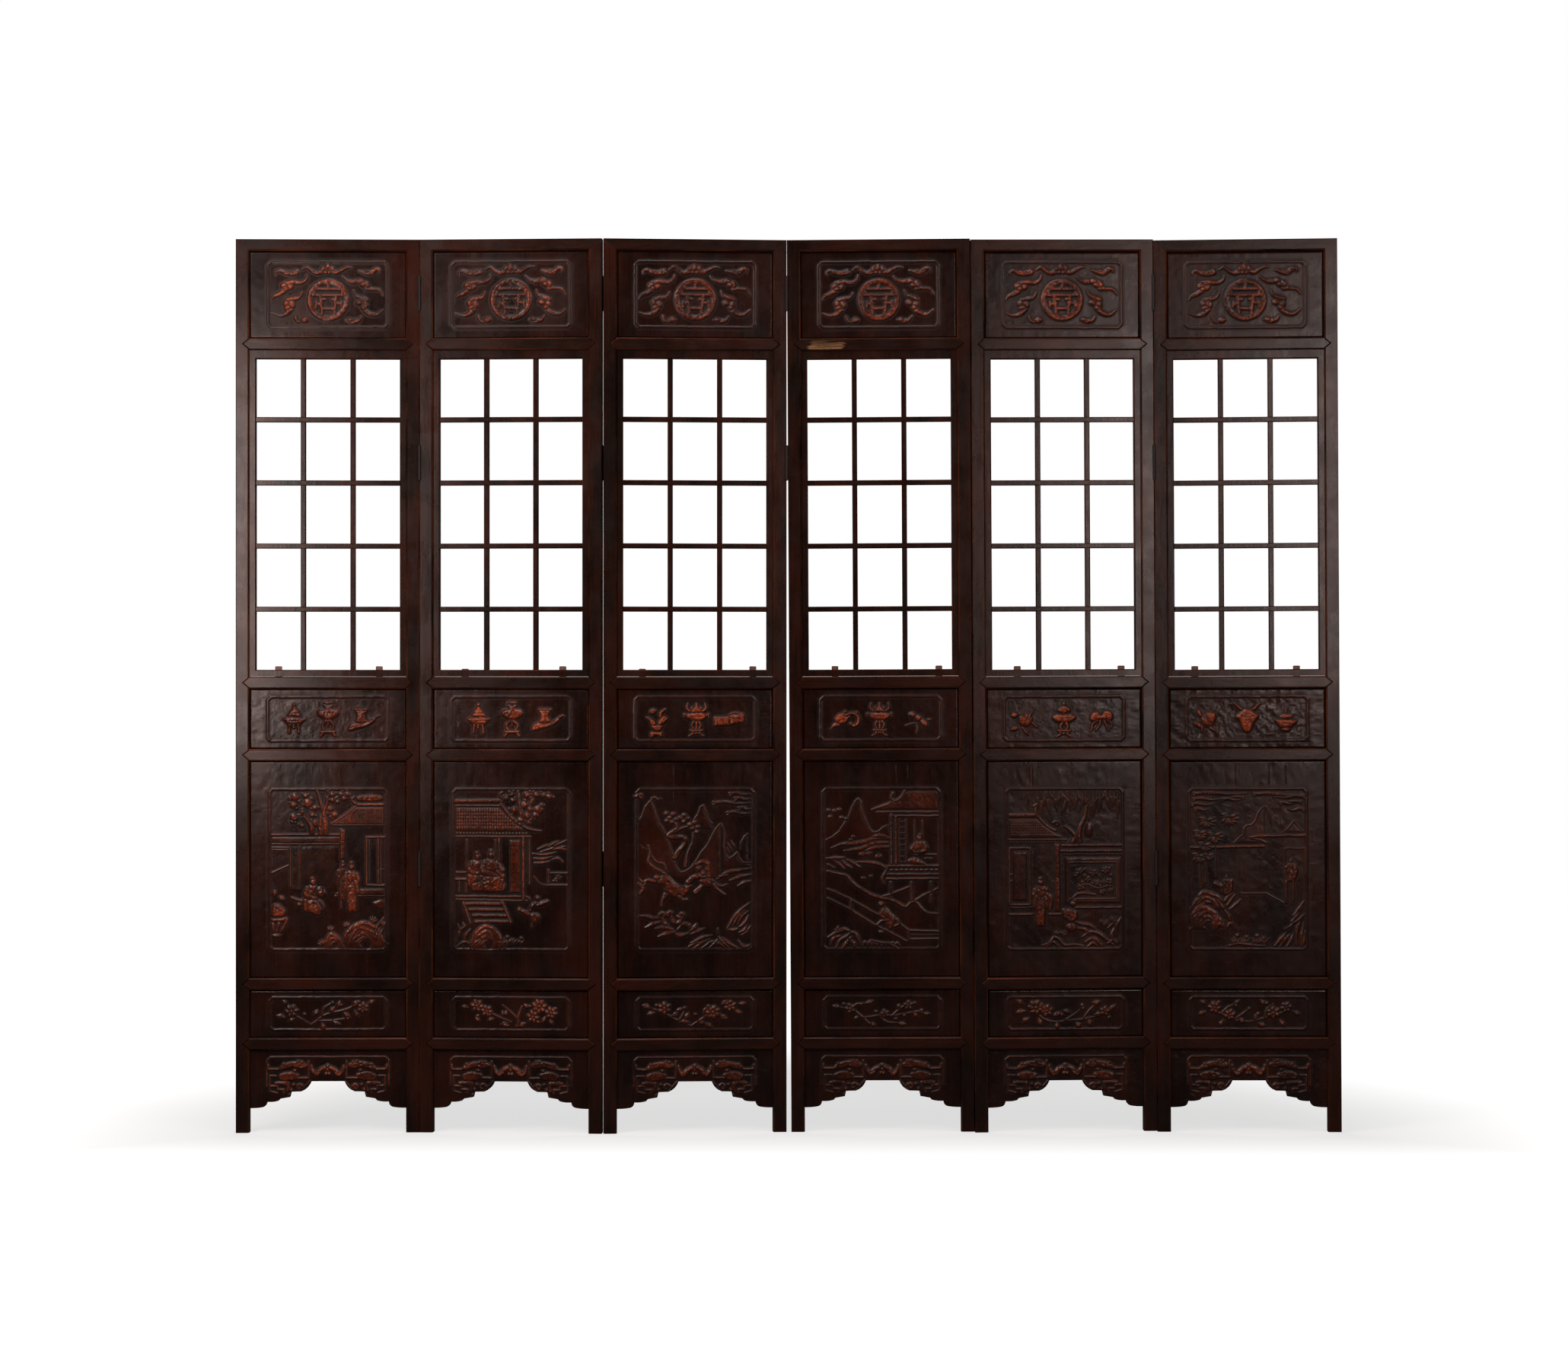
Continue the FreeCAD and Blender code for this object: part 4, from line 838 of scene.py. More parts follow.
def scene_tea_hall(c, draw):
    """Two friends at a table in an open hall, and a dancer in the court."""
    c.ribs([(21.4, 35), (56, 35), (62, 41.4), (70, 48.2), (76, 52.6), (21.4, 52.6)], 2, 2.6, 1.7,
           rows_too=2.6)
    bars(c, [[(21.4, 29.6), (55.6, 29.6)]], 3.2, 2.2)
    bars(c, [[(21.4, 33.2), (56, 33.2)]], 1, 2)
    c.stroke([(58.4, 22.4), (55.8, 25), (58.2, 28), (57, 32)], (1.6, 2, 1.4), 2.2, 0.5)
    c.stroke([(57, 32), (63.4, 40), (70.4, 46.6), (76, 50), (82, 52), (88.6, 52.8)],
             (1.6, 2, 1.8, 1.1), 2.9, 0.6)
    for i in range(22):
        c.dome(22.4 + 2.6 * i, 54.8, 0.8, 1, 1.9)
    bars(c, [[(21.4, 57.2), (80.4, 57.2)]], 1.2, 1.8)
    bars(c, [[(55.6, 59), (55.6, 80)], [(74.6, 57), (74.6, 106)]], 1.9, 2.5)
    bars(c, [[(79.4, 58), (79.4, 94)], [(30, 60), (30, 84)], [(52.4, 60), (52.4, 78)]], 1.1, 1.6)
    c.form([(64, 60), (72, 60), (72, 100.6), (64, 100.6)], 1.5, 1, 0.4, sharp=True)
    for row in range(11):
        for col in range(2):
            c.dome(66.4 + 3.4 * col, 63 + 3.5 * row, 1.2, 1.3, 2)
    c.groove([(64.8, 65), (71.2, 65)], 0.5, 0.6)
    c.groove([(64.8, 86), (71.2, 86)], 0.5, 0.6)
    bars(c, [[(21.4, 90.4), (31, 90.4)]], 1.7, 2.2)
    bars(c, [[(29.8, 91), (29.4, 101)], [(22, 85), (30, 85)], [(24, 92), (24, 100)]], 1, 1.7)
    seated(c, 38.4, 69.4, 28, 1, 2.8)
    seated(c, 49.4, 67.6, 32, 1, 3.1)
    c.stroke([(54, 84), (58.4, 88), (57, 97)], (2.6, 3.2, 2), 3, 0.5)
    c.dome(43.8, 90.6, 1.8, 2.2, 3.4, 0, 0.6)
    c.form([(34.4, 93), (42, 93), (43, 99.6), (33.6, 99.6)], 2.6, 2, 0.7)
    for u in (36.2, 38.6, 41):
        c.groove([(u, 94), (u - 0.6, 99)], 0.6, 1.1)
    bars(c, [[(21.4, 103.6), (73, 103.6)]], 1.2, 1.5)
    bars(c, [[(21.4, 106), (80, 107)]], 0.9, 1.2)
    for i, (left, right) in enumerate(((29, 56.4), (32, 58), (35, 60.4), (37, 63))):
        bars(c, [[(left, 109.4 + 4.6 * i), (right, 109.4 + 4.6 * i)]], 2.6, 1.9)
    bars(c, [[(27.4, 108.6), (33, 124.6)], [(58, 108), (64.6, 123.6)]], 1.9, 2.2)
    tree_with_balls(c, [[(70.6, 22), (71.4, 31), (72.8, 39), (72.6, 47)],
                        [(80, 22), (81.6, 29), (79.4, 34), (79.6, 44)]],
                    [(65, 24.4, 2.8), (61, 27.6, 2.2), (66.4, 29.4, 2.4), (77.4, 24.6, 3),
                     (85.4, 24.6, 2.8), (90.6, 25, 2.4), (95, 26.2, 2.6), (67.6, 36.8, 3),
                     (76, 32.6, 3.2), (80, 36, 2.6), (86.8, 36.4, 3.8), (84.4, 40.4, 2.6), (78, 41, 3),
                     (72.4, 44.4, 2.4), (79, 46.4, 2), (63.6, 22.6, 1.8)], draw)
    for i, run in enumerate(([(86, 67), (92, 64.6), (100, 63.4), (109, 60)],
                             [(88, 69.2), (97, 66.4), (108, 64.6)], [(82, 70.6), (92, 71), (101, 69)],
                             [(82.6, 74), (90, 74.4), (98, 72.6)], [(83, 77.6), (90, 77.4), (96, 76)],
                             [(96, 68.2), (103, 66), (109, 67.4)], [(93, 66), (98, 62.6), (103, 60.6)],
                             [(97, 75), (102, 74), (106, 77)])):
        c.stroke(run, (0.8, 2.1 - 0.1 * (i % 3), 0.8), 2.4, 0.6)
    bars(c, [[(94.4, 83), (94.4, 94)], [(96, 85.4), (109.4, 85.4)], [(94, 94.6), (109.4, 94.6)]], 1.4, 2)
    blossom(c, 102.4, 88.6, 2.4, 5, 2)
    grass(c, 100, 92, 3, 3, 1.8)
    c.stroke([(83, 88), (88, 93.6), (94, 95)], (0.8, 1), 1.3)
    # The dancer in the court
    c.dome(71.6, 113.8, 2.1, 1.9, 2.8, 0, 0.6)
    c.stroke([(73.6, 114.8), (77, 116.4), (81, 119)], (2.2, 3, 2.4), 2.7, 0.5)
    c.stroke([(80, 114.4), (81.6, 110.8), (84.6, 108.6)], (2, 2.8, 2), 3, 0.6)
    c.dome(85.6, 104.8, 2, 2.2, 3, 0, 0.7)
    c.stroke([(85.6, 110.4), (89.6, 109), (93.6, 107.6)], (2.2, 3.4, 3), 3, 0.6)
    c.form([(80, 117), (86.6, 116.4), (88.2, 121), (84.6, 125), (80.4, 122.6)], 2.9, 2.4, 0.7)
    c.stroke([(82, 124), (81.4, 127)], 1.4, 2.2, 0.4)
    c.groove([(82, 118), (84.6, 123.6)], 0.6, 1.2)
    c.stroke([(76, 103.4), (79, 105), (80, 108)], (1, 1.6, 1), 2, 0.4)
    rock(c, 46, 143.4, 27, 16, 4, 2.7, draw)
    crags(c, [[(22, 140), (24, 132), (23, 125)], [(27, 143), (29, 134), (33, 129)],
              [(22, 143), (28, 139), (33, 141)], [(33, 143), (37, 139), (42, 136.6)],
              [(24, 130), (28, 127), (27, 124)]], 2, 2.5)
    for u, v, size in ((61, 142, 7), (66.6, 141, 6), (72.6, 141, 5.6), (56.6, 142, 6)):
        grass(c, u, v, size, 4, 2.3, 0, 34)
    for u, v in ((62, 135), (73, 136), (66, 137.6)):
        c.dome(u, v, 1.6, 1.4, 2.6, 0, 0.4)


def scene_rider(c, draw):
    """A rider and a running horse under steep peaks."""
    ridge(c, [(21, 46), (24, 42), (27, 34.4), (31.2, 29.4), (33.4, 34), (36, 42), (38, 47.6), (41, 52),
              (43.6, 58), (46.4, 66), (49, 74), (51, 81), (53.6, 84.6), (57.6, 84), (62, 81.4), (66, 76),
              (69.6, 69.6), (74, 64.6), (77.6, 58), (81, 51), (85, 47)], 2, 90, 1.5)
    ridge(c, [(85, 47), (87.4, 52), (88.2, 58), (87.4, 65), (89, 71), (91, 74.4), (95.4, 72),
              (97.4, 69.4), (99, 74), (102, 77.4), (108.4, 77.6)], 1.9, 82, 1.4)
    ridge(c, [(64, 45), (67, 40.6), (69.4, 34.4), (71.6, 33.4), (74, 39), (75.6, 44.4), (78.6, 47.4)],
          1.9, 52, 1.4)
    ridge(c, [(100, 68), (100.6, 62), (103.4, 57), (106, 55)], 1.6, 76, 1.3)
    ridge(c, [(22, 62), (25.6, 66), (29.4, 67)], 1.6, 72, 1.3)
    crags(c, [[(90, 62), (92, 66), (93.6, 69)], [(92, 60), (94.6, 64), (96, 67)],
              [(89.6, 66), (91.6, 70)]], 0.9, 1.5)
    c.stroke([(50.6, 47), (51.4, 51), (46.4, 54.6), (44.6, 57), (50, 58), (56.4, 58.4), (57.4, 63),
              (53.4, 68), (49.8, 73.6)], (1.8, 2.4, 2.8, 2.8), 2.6, 0.8)
    c.groove([(46, 56.6), (52, 57.6), (56.8, 60), (54, 66)], 0.6, 1)
    c.stroke([(50, 54), (55, 51), (59.6, 49.6)], (1.8, 1.2), 2.2, 0.4)
    c.stroke([(63.8, 54), (63, 62), (59.4, 71), (58, 80)], (1, 1.4, 1.8), 2, 0.5)
    for u, v in ((43, 39.6), (45.6, 42.6), (48.6, 40), (51, 44), (43.6, 45), (47.4, 46), (54, 43),
                 (56.6, 45.6), (59.4, 43.4), (57, 41), (61.4, 48), (65, 46.4), (63, 51), (67.4, 50),
                 (66.6, 53.6)):
        c.dome(u, v, 2.2, 1.9, 2.6, draw.uniform(-40, 40), 0.4)
    for v, left in ((24.6, 92), (28.4, 96), (31.6, 79.4), (35.8, 99), (39.4, 90)):
        cloud(c, left, v, 107.6 - left, 1.9, 1, 1.7)
    cloud(c, 24, 26, 6, 2.4, -1, 2.2)
    cloud(c, 32, 28, 7, 1.8, 1, 1.2)
    c.strokes([[(82, 90), (90, 85), (98, 83.6), (108, 82)], [(92, 91), (100, 88.4), (108, 86.6)],
               [(98, 95.4), (103, 92.6), (108, 91.6)], [(84, 88), (90, 87)]], (1.2, 2.2, 1.2), 2.2, 0.6)
    # Ribbon, running horse and the rider's cloak
    c.stroke([(29.4, 64), (30.6, 70), (29.4, 76), (34, 81), (40, 84.4), (45, 88), (48.6, 93),
              (52.6, 95.6)], (1.2, 1.6, 1.8, 1.6), 2.5, 0.7)
    c.stroke([(32, 72), (36, 76.6), (41, 78), (43.6, 84)], (1, 1.4, 1), 2, 0.5)
    c.form([(36, 90), (40, 86), (46, 87), (50.6, 92), (56, 95), (60, 92), (63, 95), (60, 101),
            (54, 104.6), (47, 104), (42, 100), (41, 95), (36.6, 93.6)], 2.9, 3.2, 0.9)
    c.dome(36, 88.6, 2.8, 2.4, 3.1, 0, 0.5)
    c.stroke([(43, 102), (40.6, 106), (39.6, 110.4)], (3, 2, 1.6), 2.7, 0.6)
    c.stroke([(53, 103), (56, 105.6), (59, 105.4)], (2.6, 1.8, 1.6), 2.7, 0.6)
    c.stroke([(34.6, 91.4), (29, 90.6), (25.4, 92.4), (22, 89)], (2.2, 2, 1.6, 1), 2.5, 0.6)
    c.stroke([(22, 93), (25, 97), (23, 101)], (2, 2.6, 1.6), 2.3, 0.5)
    c.stroke([(27, 93), (25.6, 95)], (1.4, 1), 2.2, 0.4)
    c.grooves([[(45, 90), (46, 97), (50, 101)], [(53, 96.6), (54.6, 101.6)]], 0.7, 1.2)
    c.stroke([(60, 92.6), (64, 88.6), (70, 87.6), (75.6, 89)], (2.8, 3.4, 3.2, 2.4), 2.9, 0.8)
    c.stroke([(66, 78.6), (71, 76.4), (75, 78.4), (75.4, 84), (76, 89.6)], (2, 2.8, 3.4, 2.8), 2.9, 0.8)
    c.dome(68.2, 81.6, 2.3, 2.6, 3.1, 0, 0.7)
    c.dome(71.4, 85, 2.2, 2.6, 3, 10, 0.4)
    c.form([(69, 90), (77, 89), (80.4, 93), (75, 96.6), (70, 94.6)], 2.9, 2.2, 0.6)
    c.stroke([(78, 91), (81.4, 94), (86, 95.4), (89.6, 94)], (1.8, 1.6, 1), 2.4, 0.5)
    c.stroke([(79, 94), (82.6, 98), (88, 102)], (2.6, 2, 1.2), 2.6, 0.6)
    c.stroke([(66, 100), (69, 97), (70.6, 95)], (2.8, 2.4), 2.7, 0.6)
    # Rolling clouds or rocks, and the bank
    for u, v, r, way in ((40.6, 117.6, 2.8, 1), (46.4, 116.4, 2.2, 1), (54.6, 117, 2.8, -1)):
        curl(c, u, v, r, 0.9, 1.9, 2.5, 150, way)
    c.strokes([[(22, 118), (28, 118.6), (33, 120), (38, 119)], [(40, 119), (42, 124), (46, 128)],
               [(47, 117.6), (48, 122), (51, 125)], [(56, 119), (53, 123), (50, 124)],
               [(27, 127), (33, 124.4), (38, 122.6)], [(35, 127.6), (42, 127), (48, 128.4)],
               [(52, 128.6), (56, 124.8), (60.6, 125.6), (61, 129.6)],
               [(61, 130), (65, 127), (66, 124.6)], [(62, 132), (68, 129.6), (72, 128)],
               [(50, 131.6), (54, 133), (60, 131.4)], [(37, 134), (44, 131.4), (50, 130)]],
              (1.2, 2.6, 1.2), 2.4, 0.7)
    crags(c, [[(60, 142), (66, 138), (72, 134.6)], [(64, 143), (70, 139), (76, 136)],
              [(70, 143), (76, 139), (81, 137)], [(76, 143), (80, 139.4), (83, 135.6)],
              [(83, 134), (86, 138), (92, 143)], [(86, 135), (91, 139), (98, 143)],
              [(62, 139), (70, 135), (78, 133)], [(82.6, 128), (83, 132)],
              [(90, 128), (94, 121), (100, 114), (107.6, 108)], [(94, 126), (98, 119), (103, 114)],
              [(98, 125), (101, 119), (106, 115)], [(98, 127.6), (103, 124), (106.6, 118)],
              [(90, 128.6), (95, 129), (99, 127.6)], [(101, 133), (105, 130), (108, 126)],
              [(99, 131), (103, 129), (105, 125)], [(98, 137), (103, 142), (108, 140)],
              [(88, 143), (84, 139), (81, 141)]], 2.1, 2.6)


def scene_pavilion(c, draw):
    """A lake pavilion on stilts, and a bridge with a traveller."""
    c.form([(84, 22.6), (109.4, 22.6), (109.4, 36.6), (62, 36.6), (73, 31), (80, 28.4)], 1.7, 1.6, 0.4,
           sharp=True)
    c.ribs([(85, 23.4), (109, 23.4), (109, 36), (66, 36), (75, 31)], 1.3, 2, 0.6)
    c.stroke([(83.4, 22), (80, 28), (72, 31.8), (64, 34.4), (57.6, 36.6)], (1.6, 2, 2, 1), 2.6, 0.6)
    c.stroke([(74, 24), (73, 28), (75.6, 30)], (1.8, 1.6), 2.2, 0.4)
    bars(c, [[(62, 38.4), (109.4, 38.4)], [(72, 41.4), (109.4, 41.4)]], 1.5, 1.8)
    bars(c, [[(72.8, 40), (72.8, 78)], [(76.4, 42), (76.4, 78)]], 1.8, 2.5)
    bars(c, [[(84.2, 44), (84.2, 77)], [(79, 44), (79, 77)], [(91, 45), (91, 76)], [(97, 45), (97, 57)]],
         0.8, 1.4)
    bars(c, [[(79.4, 46 + 4.4 * i), (83.8, 46 + 4.4 * i)] for i in range(8)], 0.7, 1.4)
    bars(c, [[(69, 79.6), (109.4, 79.6)], [(69, 86), (109.4, 86)], [(69, 89.4), (109.4, 89.4)]], 1.4, 2.3)
    for i in range(10):
        c.dome(73 + 3.9 * i, 82.8, 1.5, 1.2, 1.9)
    c.stroke([(70, 80), (68.6, 84), (65.6, 89), (67, 93)], (1.4, 1.8, 1.4), 2.2, 0.5)
    seated(c, 94.6, 55.4, 23, -1, 2.9)
    bars(c, [[(90, 78), (98.6, 78)], [(98.8, 74), (104, 74)], [(99, 71), (108, 71)]], 1.1, 1.8)
    for u in (72, 88.4, 103.6):
        bars(c, [[(u, 92), (u, 108 if u > 80 else 103)]], 2.3, 1.9)
    c.stroke([(65.6, 103), (73, 101), (86.6, 95.6)], (1.3, 1.7, 1.2), 2.1, 0.5)
    c.stroke([(88, 108), (97, 102.8), (109, 96.8)], (1.3, 1.7, 1.2), 2.1, 0.5)
    ridge(c, [(22, 59.6), (27, 57), (32, 53), (36, 47.6), (39.6, 42), (42, 35), (44.6, 30), (47, 28),
              (49.4, 30.6), (49.6, 36), (51.4, 41), (54, 47), (56, 51.6), (59, 54), (63, 53), (66.4, 50),
              (69.6, 48.4), (72, 50)], 2, 60, 1.5)
    for u, v in ((24, 37), (28.6, 37.6), (32, 36.4), (25, 42), (34, 42.6), (38, 43.6), (43, 57),
                 (41, 59.4)):
        c.dome(u, v, 2, 1.6, 1.9, draw.uniform(-30, 30), 0.4)
    c.strokes([[(26, 66), (34, 63), (42, 62.6), (52, 61), (60, 58.6), (71, 58)],
               [(36, 68), (48, 66.4), (58, 62.6), (70, 61.6)], [(52, 68), (60, 65.6), (71, 65)],
               [(58, 57), (63, 56.4), (69, 57)]], (1, 2.4, 2.6, 1.4), 2.4, 0.7)
    for u, v in ((50, 70.6), (55, 70), (62.6, 72.4)):
        c.dome(u, v, 3, 2.2, 1.9, -20, 0.5)
    c.strokes([[(22, 73.6), (29, 73.4), (36, 73)], [(27, 75), (32, 78), (36, 81.6)],
               [(34, 75), (38, 78.6), (42, 81)], [(38, 74.6), (43, 77), (48, 80.6)],
               [(46, 76.4), (56, 77), (64, 78.6), (68, 81)], [(23, 78), (28, 81)]], (1, 2.2, 1), 2.4, 0.6)
    c.dome(50.6, 89, 2.2, 1.4, 1.6, 0, 0.4)
    c.dome(56.6, 87.4, 1.6, 1.1, 1.6, 0, 0.4)
    c.stroke([(23, 83.4), (29, 85), (37.6, 87), (42, 92), (47, 96), (56, 101), (64.6, 104), (72, 105.4),
              (79, 108.6), (84, 111.2)], (1.2, 1.8, 1.8, 1.4), 2.4, 0.8)
    c.stroke([(84, 111), (88, 107.6), (92, 107.4), (96, 112), (101, 115.4), (109, 116.2)], (1.4, 1.6, 1),
             2, 0.6)
    bars(c, [[(23, 97), (41, 105), (65, 118.4)], [(23, 104), (41, 113), (60, 124.6), (84, 137)]], 1.3, 2,
         0.5)
    bars(c, [[(41, 105.6), (41, 113.4)], [(86, 129), (86, 136.4)]], 1.6, 2.2)
    bars(c, [[(76, 121), (86, 129), (109.4, 129.6)], [(68, 128.4), (84, 137)],
             [(86, 135.6), (109.4, 135.4)]], 1.3, 1.9, 0.5)
    bars(c, [[(88, 132.4), (109.4, 132.4)]], 0.8, 1.3)
    c.dome(64.6, 109, 2.4, 2.4, 2.9, 20, 0.7)
    c.form([(64, 112), (68.6, 111), (72.4, 115), (76, 119), (74.6, 124.6), (71, 129), (66.6, 121)], 2.8,
           2.6, 0.9)
    c.stroke([(66, 113), (64.4, 117.6), (68, 119.6)], (2, 2.4, 1.4), 3, 0.4)
    c.stroke([(61.4, 124.6), (65.4, 121.6), (70, 121)], (1.6, 2.4), 2.6, 0.6)
    c.stroke([(76.6, 120.4), (78, 124), (75, 125.6)], (2, 1.6), 2.5, 0.4)
    c.dome(64.6, 130, 2.4, 1.6, 2.3, 0, 0.4)
    c.groove([(69, 114), (71, 121), (72, 126)], 0.6, 1.1)
    c.strokes([[(23, 134), (29, 130.6), (36, 128), (40, 129.6)],
               [(40, 130), (44, 131), (47, 136), (48.4, 140)], [(25, 140), (27, 135), (32, 133)],
               [(29, 143), (32, 137), (37, 133.6), (40, 131)], [(34, 143), (37, 138.6), (40.6, 134)],
               [(40, 136), (43, 139), (43.6, 143)]], (1.2, 2.4, 1.4), 2.6, 0.7)
    for i in range(8):
        u = 50 + 3.6 * i
        c.stroke([(u, 141.6 - 0.1 * i), (u + 1.6, 137.4 + 0.15 * i), (u + 3.4, 140.6)], (0.8, 1.5, 0.8),
                 2, 0.4)
    c.stroke([(56, 136.4), (64, 138), (72, 139.4), (78, 143)], (1, 1.5, 1), 1.9, 0.4)
    grass(c, 31, 129, 4, 3, 2)


def scene_garden_wall(c, draw):
    """A lady and her maid before a wall with a flower panel, under a willow."""
    for i in range(24):
        u = 41 + 2.75 * i
        drop = 12 + draw.uniform(-4, 9) + 5 * math.sin(i * 0.9)
        sway = draw.uniform(-3, 3)
        c.stroke([(u + sway * 0.4, 21.6), (u, 21.6 + drop * 0.5), (u - sway, 21.6 + drop)],
                 (0.6, 1.2, 0.5), 1.7, 0.2)
        c.stroke([(u + 1 + sway * 0.2, 23 + drop * 0.3), (u + 1.4 - sway * 0.5, 22 + drop * 0.8)],
                 (0.9, 0.4), 1.5)
    c.stroke([(60, 23), (63.6, 27), (66, 29.6)], (1, 1.6), 2, 0.4)
    c.stroke([(69.4, 61), (70.4, 56), (66, 51), (63, 49)], (2.6, 2.4, 1.4), 2.3, 0.6)
    c.stroke([(74.6, 61), (73.6, 55), (75, 49), (78.6, 41), (79.6, 34), (83.6, 30)], (3, 2.6, 2, 1.3),
             2.4, 0.6)
    c.dome(81.6, 52, 3.8, 6, 1.4, 0, 0.3)
    c.form([(19, 38.4), (40, 38.4), (40, 41.6), (19, 41.6)], 2, 0.9, 0.4, sharp=True)
    c.ribs([(19, 43), (41, 43), (46, 48), (52, 52), (60, 57.2), (19, 57.2)], 1.4, 1.8, 0.7, rows_too=2)
    c.stroke([(38.6, 33), (40.6, 31.6), (40, 36), (41.6, 41), (47, 47), (52, 50.6), (55, 52)],
             (1.4, 2, 1.7, 1.5), 2.5, 0.6)
    curl(c, 56.4, 47, 2.6, 0.8, 1.5, 2.3, 200, 1)
    bars(c, [[(19, 59), (64, 59)]], 1.2, 1.7)
    for i in range(19):
        c.dome(20.4 + 2.3 * i, 61, 0.7, 0.8, 1.5)
    c.form([(54.4, 62), (58.8, 62), (58.8, 115), (54.4, 115)], 1.9, 1.2, 0.5, sharp=True)
    bars(c, [[(61, 63.6), (107, 63.6)], [(60, 68), (107, 68)]], 1.8, 2)
    for i in range(20):
        c.dome(61.6 + 2.35 * i, 70.6, 0.8, 0.7, 1.6)
    c.form([(62.4, 73), (106.4, 73), (106.4, 108.6), (62.4, 108.6)], 0.9, 1.2, 0.3, sharp=True)
    c.form([(65.4, 77), (102.8, 77), (102.8, 105), (65.4, 105)], 0, 0.5, 1.4, sharp=True)
    bars(c, [[(65.2, 76.8), (103, 76.8)], [(65.2, 105.2), (103, 105.2)], [(65.2, 76.8), (65.2, 105.2)],
             [(103, 76.8), (103, 105.2)]], 1, 1.7)
    for u, v, r in ((74, 84, 2.8), (84.6, 85, 3), (80, 90, 2.6), (94, 83, 2.8), (97, 92, 2.6),
                    (88, 93, 2.4), (76, 96, 2.4), (92, 100, 2.4), (98.6, 98.6, 2)):
        blossom(c, u, v, r, 5, 2.1, draw.uniform(0, 70))
    for i in range(22):
        leaf_blade(c, draw.uniform(71, 98), draw.uniform(81, 101), 3.4, 1.6, draw.uniform(0, 360), 1.7)
    c.stroke([(69, 104), (73, 101), (80, 101), (86, 102)], (1.2, 1.6, 1), 2, 0.4)
    c.stroke([(72, 96), (80, 94), (88, 97), (96, 95)], 0.8, 1.6)
    bars(c, [[(19.4, 65.4), (35, 65.4)], [(35.2, 65.4), (35.2, 109)], [(19.4, 66), (19.4, 109)],
             [(19.4, 109.4), (35.4, 109.4)]], 1.3, 1.9)
    c.form([(21.6, 68.4), (32.8, 68.4), (32.8, 106), (21.6, 106)], 1, 1.4, sharp=True)
    for v in (86, 91):
        c.dome(20.4, v, 0.9, 1.2, 2)
    bars(c, [[(71, 112), (106.6, 112)], [(19.4, 117), (37, 117)], [(50.6, 117), (59, 117)]], 1.5, 2.1)
    bars(c, [[(19.4, 111.6), (36, 111.6)]], 0.7, 1.2)
    robe(c, 43.6, 88.6, 37.6, -0.02, 0.17, 2.9)
    c.stroke([(48, 101), (51.6, 105), (50.6, 114)], (2.4, 2.8, 1.6), 2.8, 0.5)
    c.dome(69, 109, 2.6, 2.6, 2.9, 0, 0.7)
    c.dome(70, 106.6, 1.5, 1.1, 2.7, 0, 0.3)
    c.form([(60, 114), (66, 112.6), (71.6, 114.4), (72.6, 120), (68, 123.6), (61, 120)], 2.9, 2.4, 0.9)
    c.stroke([(61.6, 114), (63, 119), (67, 120)], (2.4, 2.2, 1.4), 3.1, 0.3)
    c.groove([(67.6, 115), (69.6, 120)], 0.6, 1.2)
    c.form([(64, 125), (69, 124), (71.6, 128), (67.6, 131), (64, 129)], 2.6, 2, 0.7)
    c.strokes([[(70, 123), (76, 124.6), (82, 126), (86, 129)], [(72, 128), (78, 129), (82, 133)],
               [(76, 135), (82, 131), (88, 132), (94, 136), (100, 141)],
               [(78, 139), (84, 136), (90, 140), (92, 142.6)], [(80, 142.6), (84, 139.6), (88, 142)],
               [(104, 124), (100, 131), (99.6, 136), (103, 140)],
               [(106.6, 120), (103, 126), (102.6, 134)], [(100.6, 124), (96, 128)],
               [(96, 140), (100, 136.6)]], (1.1, 2.4, 1.2), 2.5, 0.7)
    for u, v, size, lean in ((96, 127, 6, -40), (99, 124, 6, 30), (56, 134, 4.6, 0), (60, 134, 4.6, 30),
                             (92, 125, 4, -50)):
        grass(c, u, v, size, 4, 2.1, lean, 36)
    c.stroke([(44, 141.4), (50, 139.4), (54, 135), (58, 137), (62, 141), (70, 140.6), (76, 142)],
             (1, 1.9, 1.6, 1), 2.1, 0.5)
    c.stroke([(48, 142.6), (53, 138.6), (57, 142)], (1, 1.6, 1), 2, 0.4)


def bamboo_spray(c, u, v, size, rise, lean=0):
    """Drooping bamboo leaves about a twig's end."""
    for angle in (-165, 170, 140, 112, 88, 62, 36, 8, -20):
        leaf_blade(c, u, v, size * (0.75 + 0.25 * abs(math.sin(angle * 1.7))), size * 0.3, angle + lean,
                   rise)


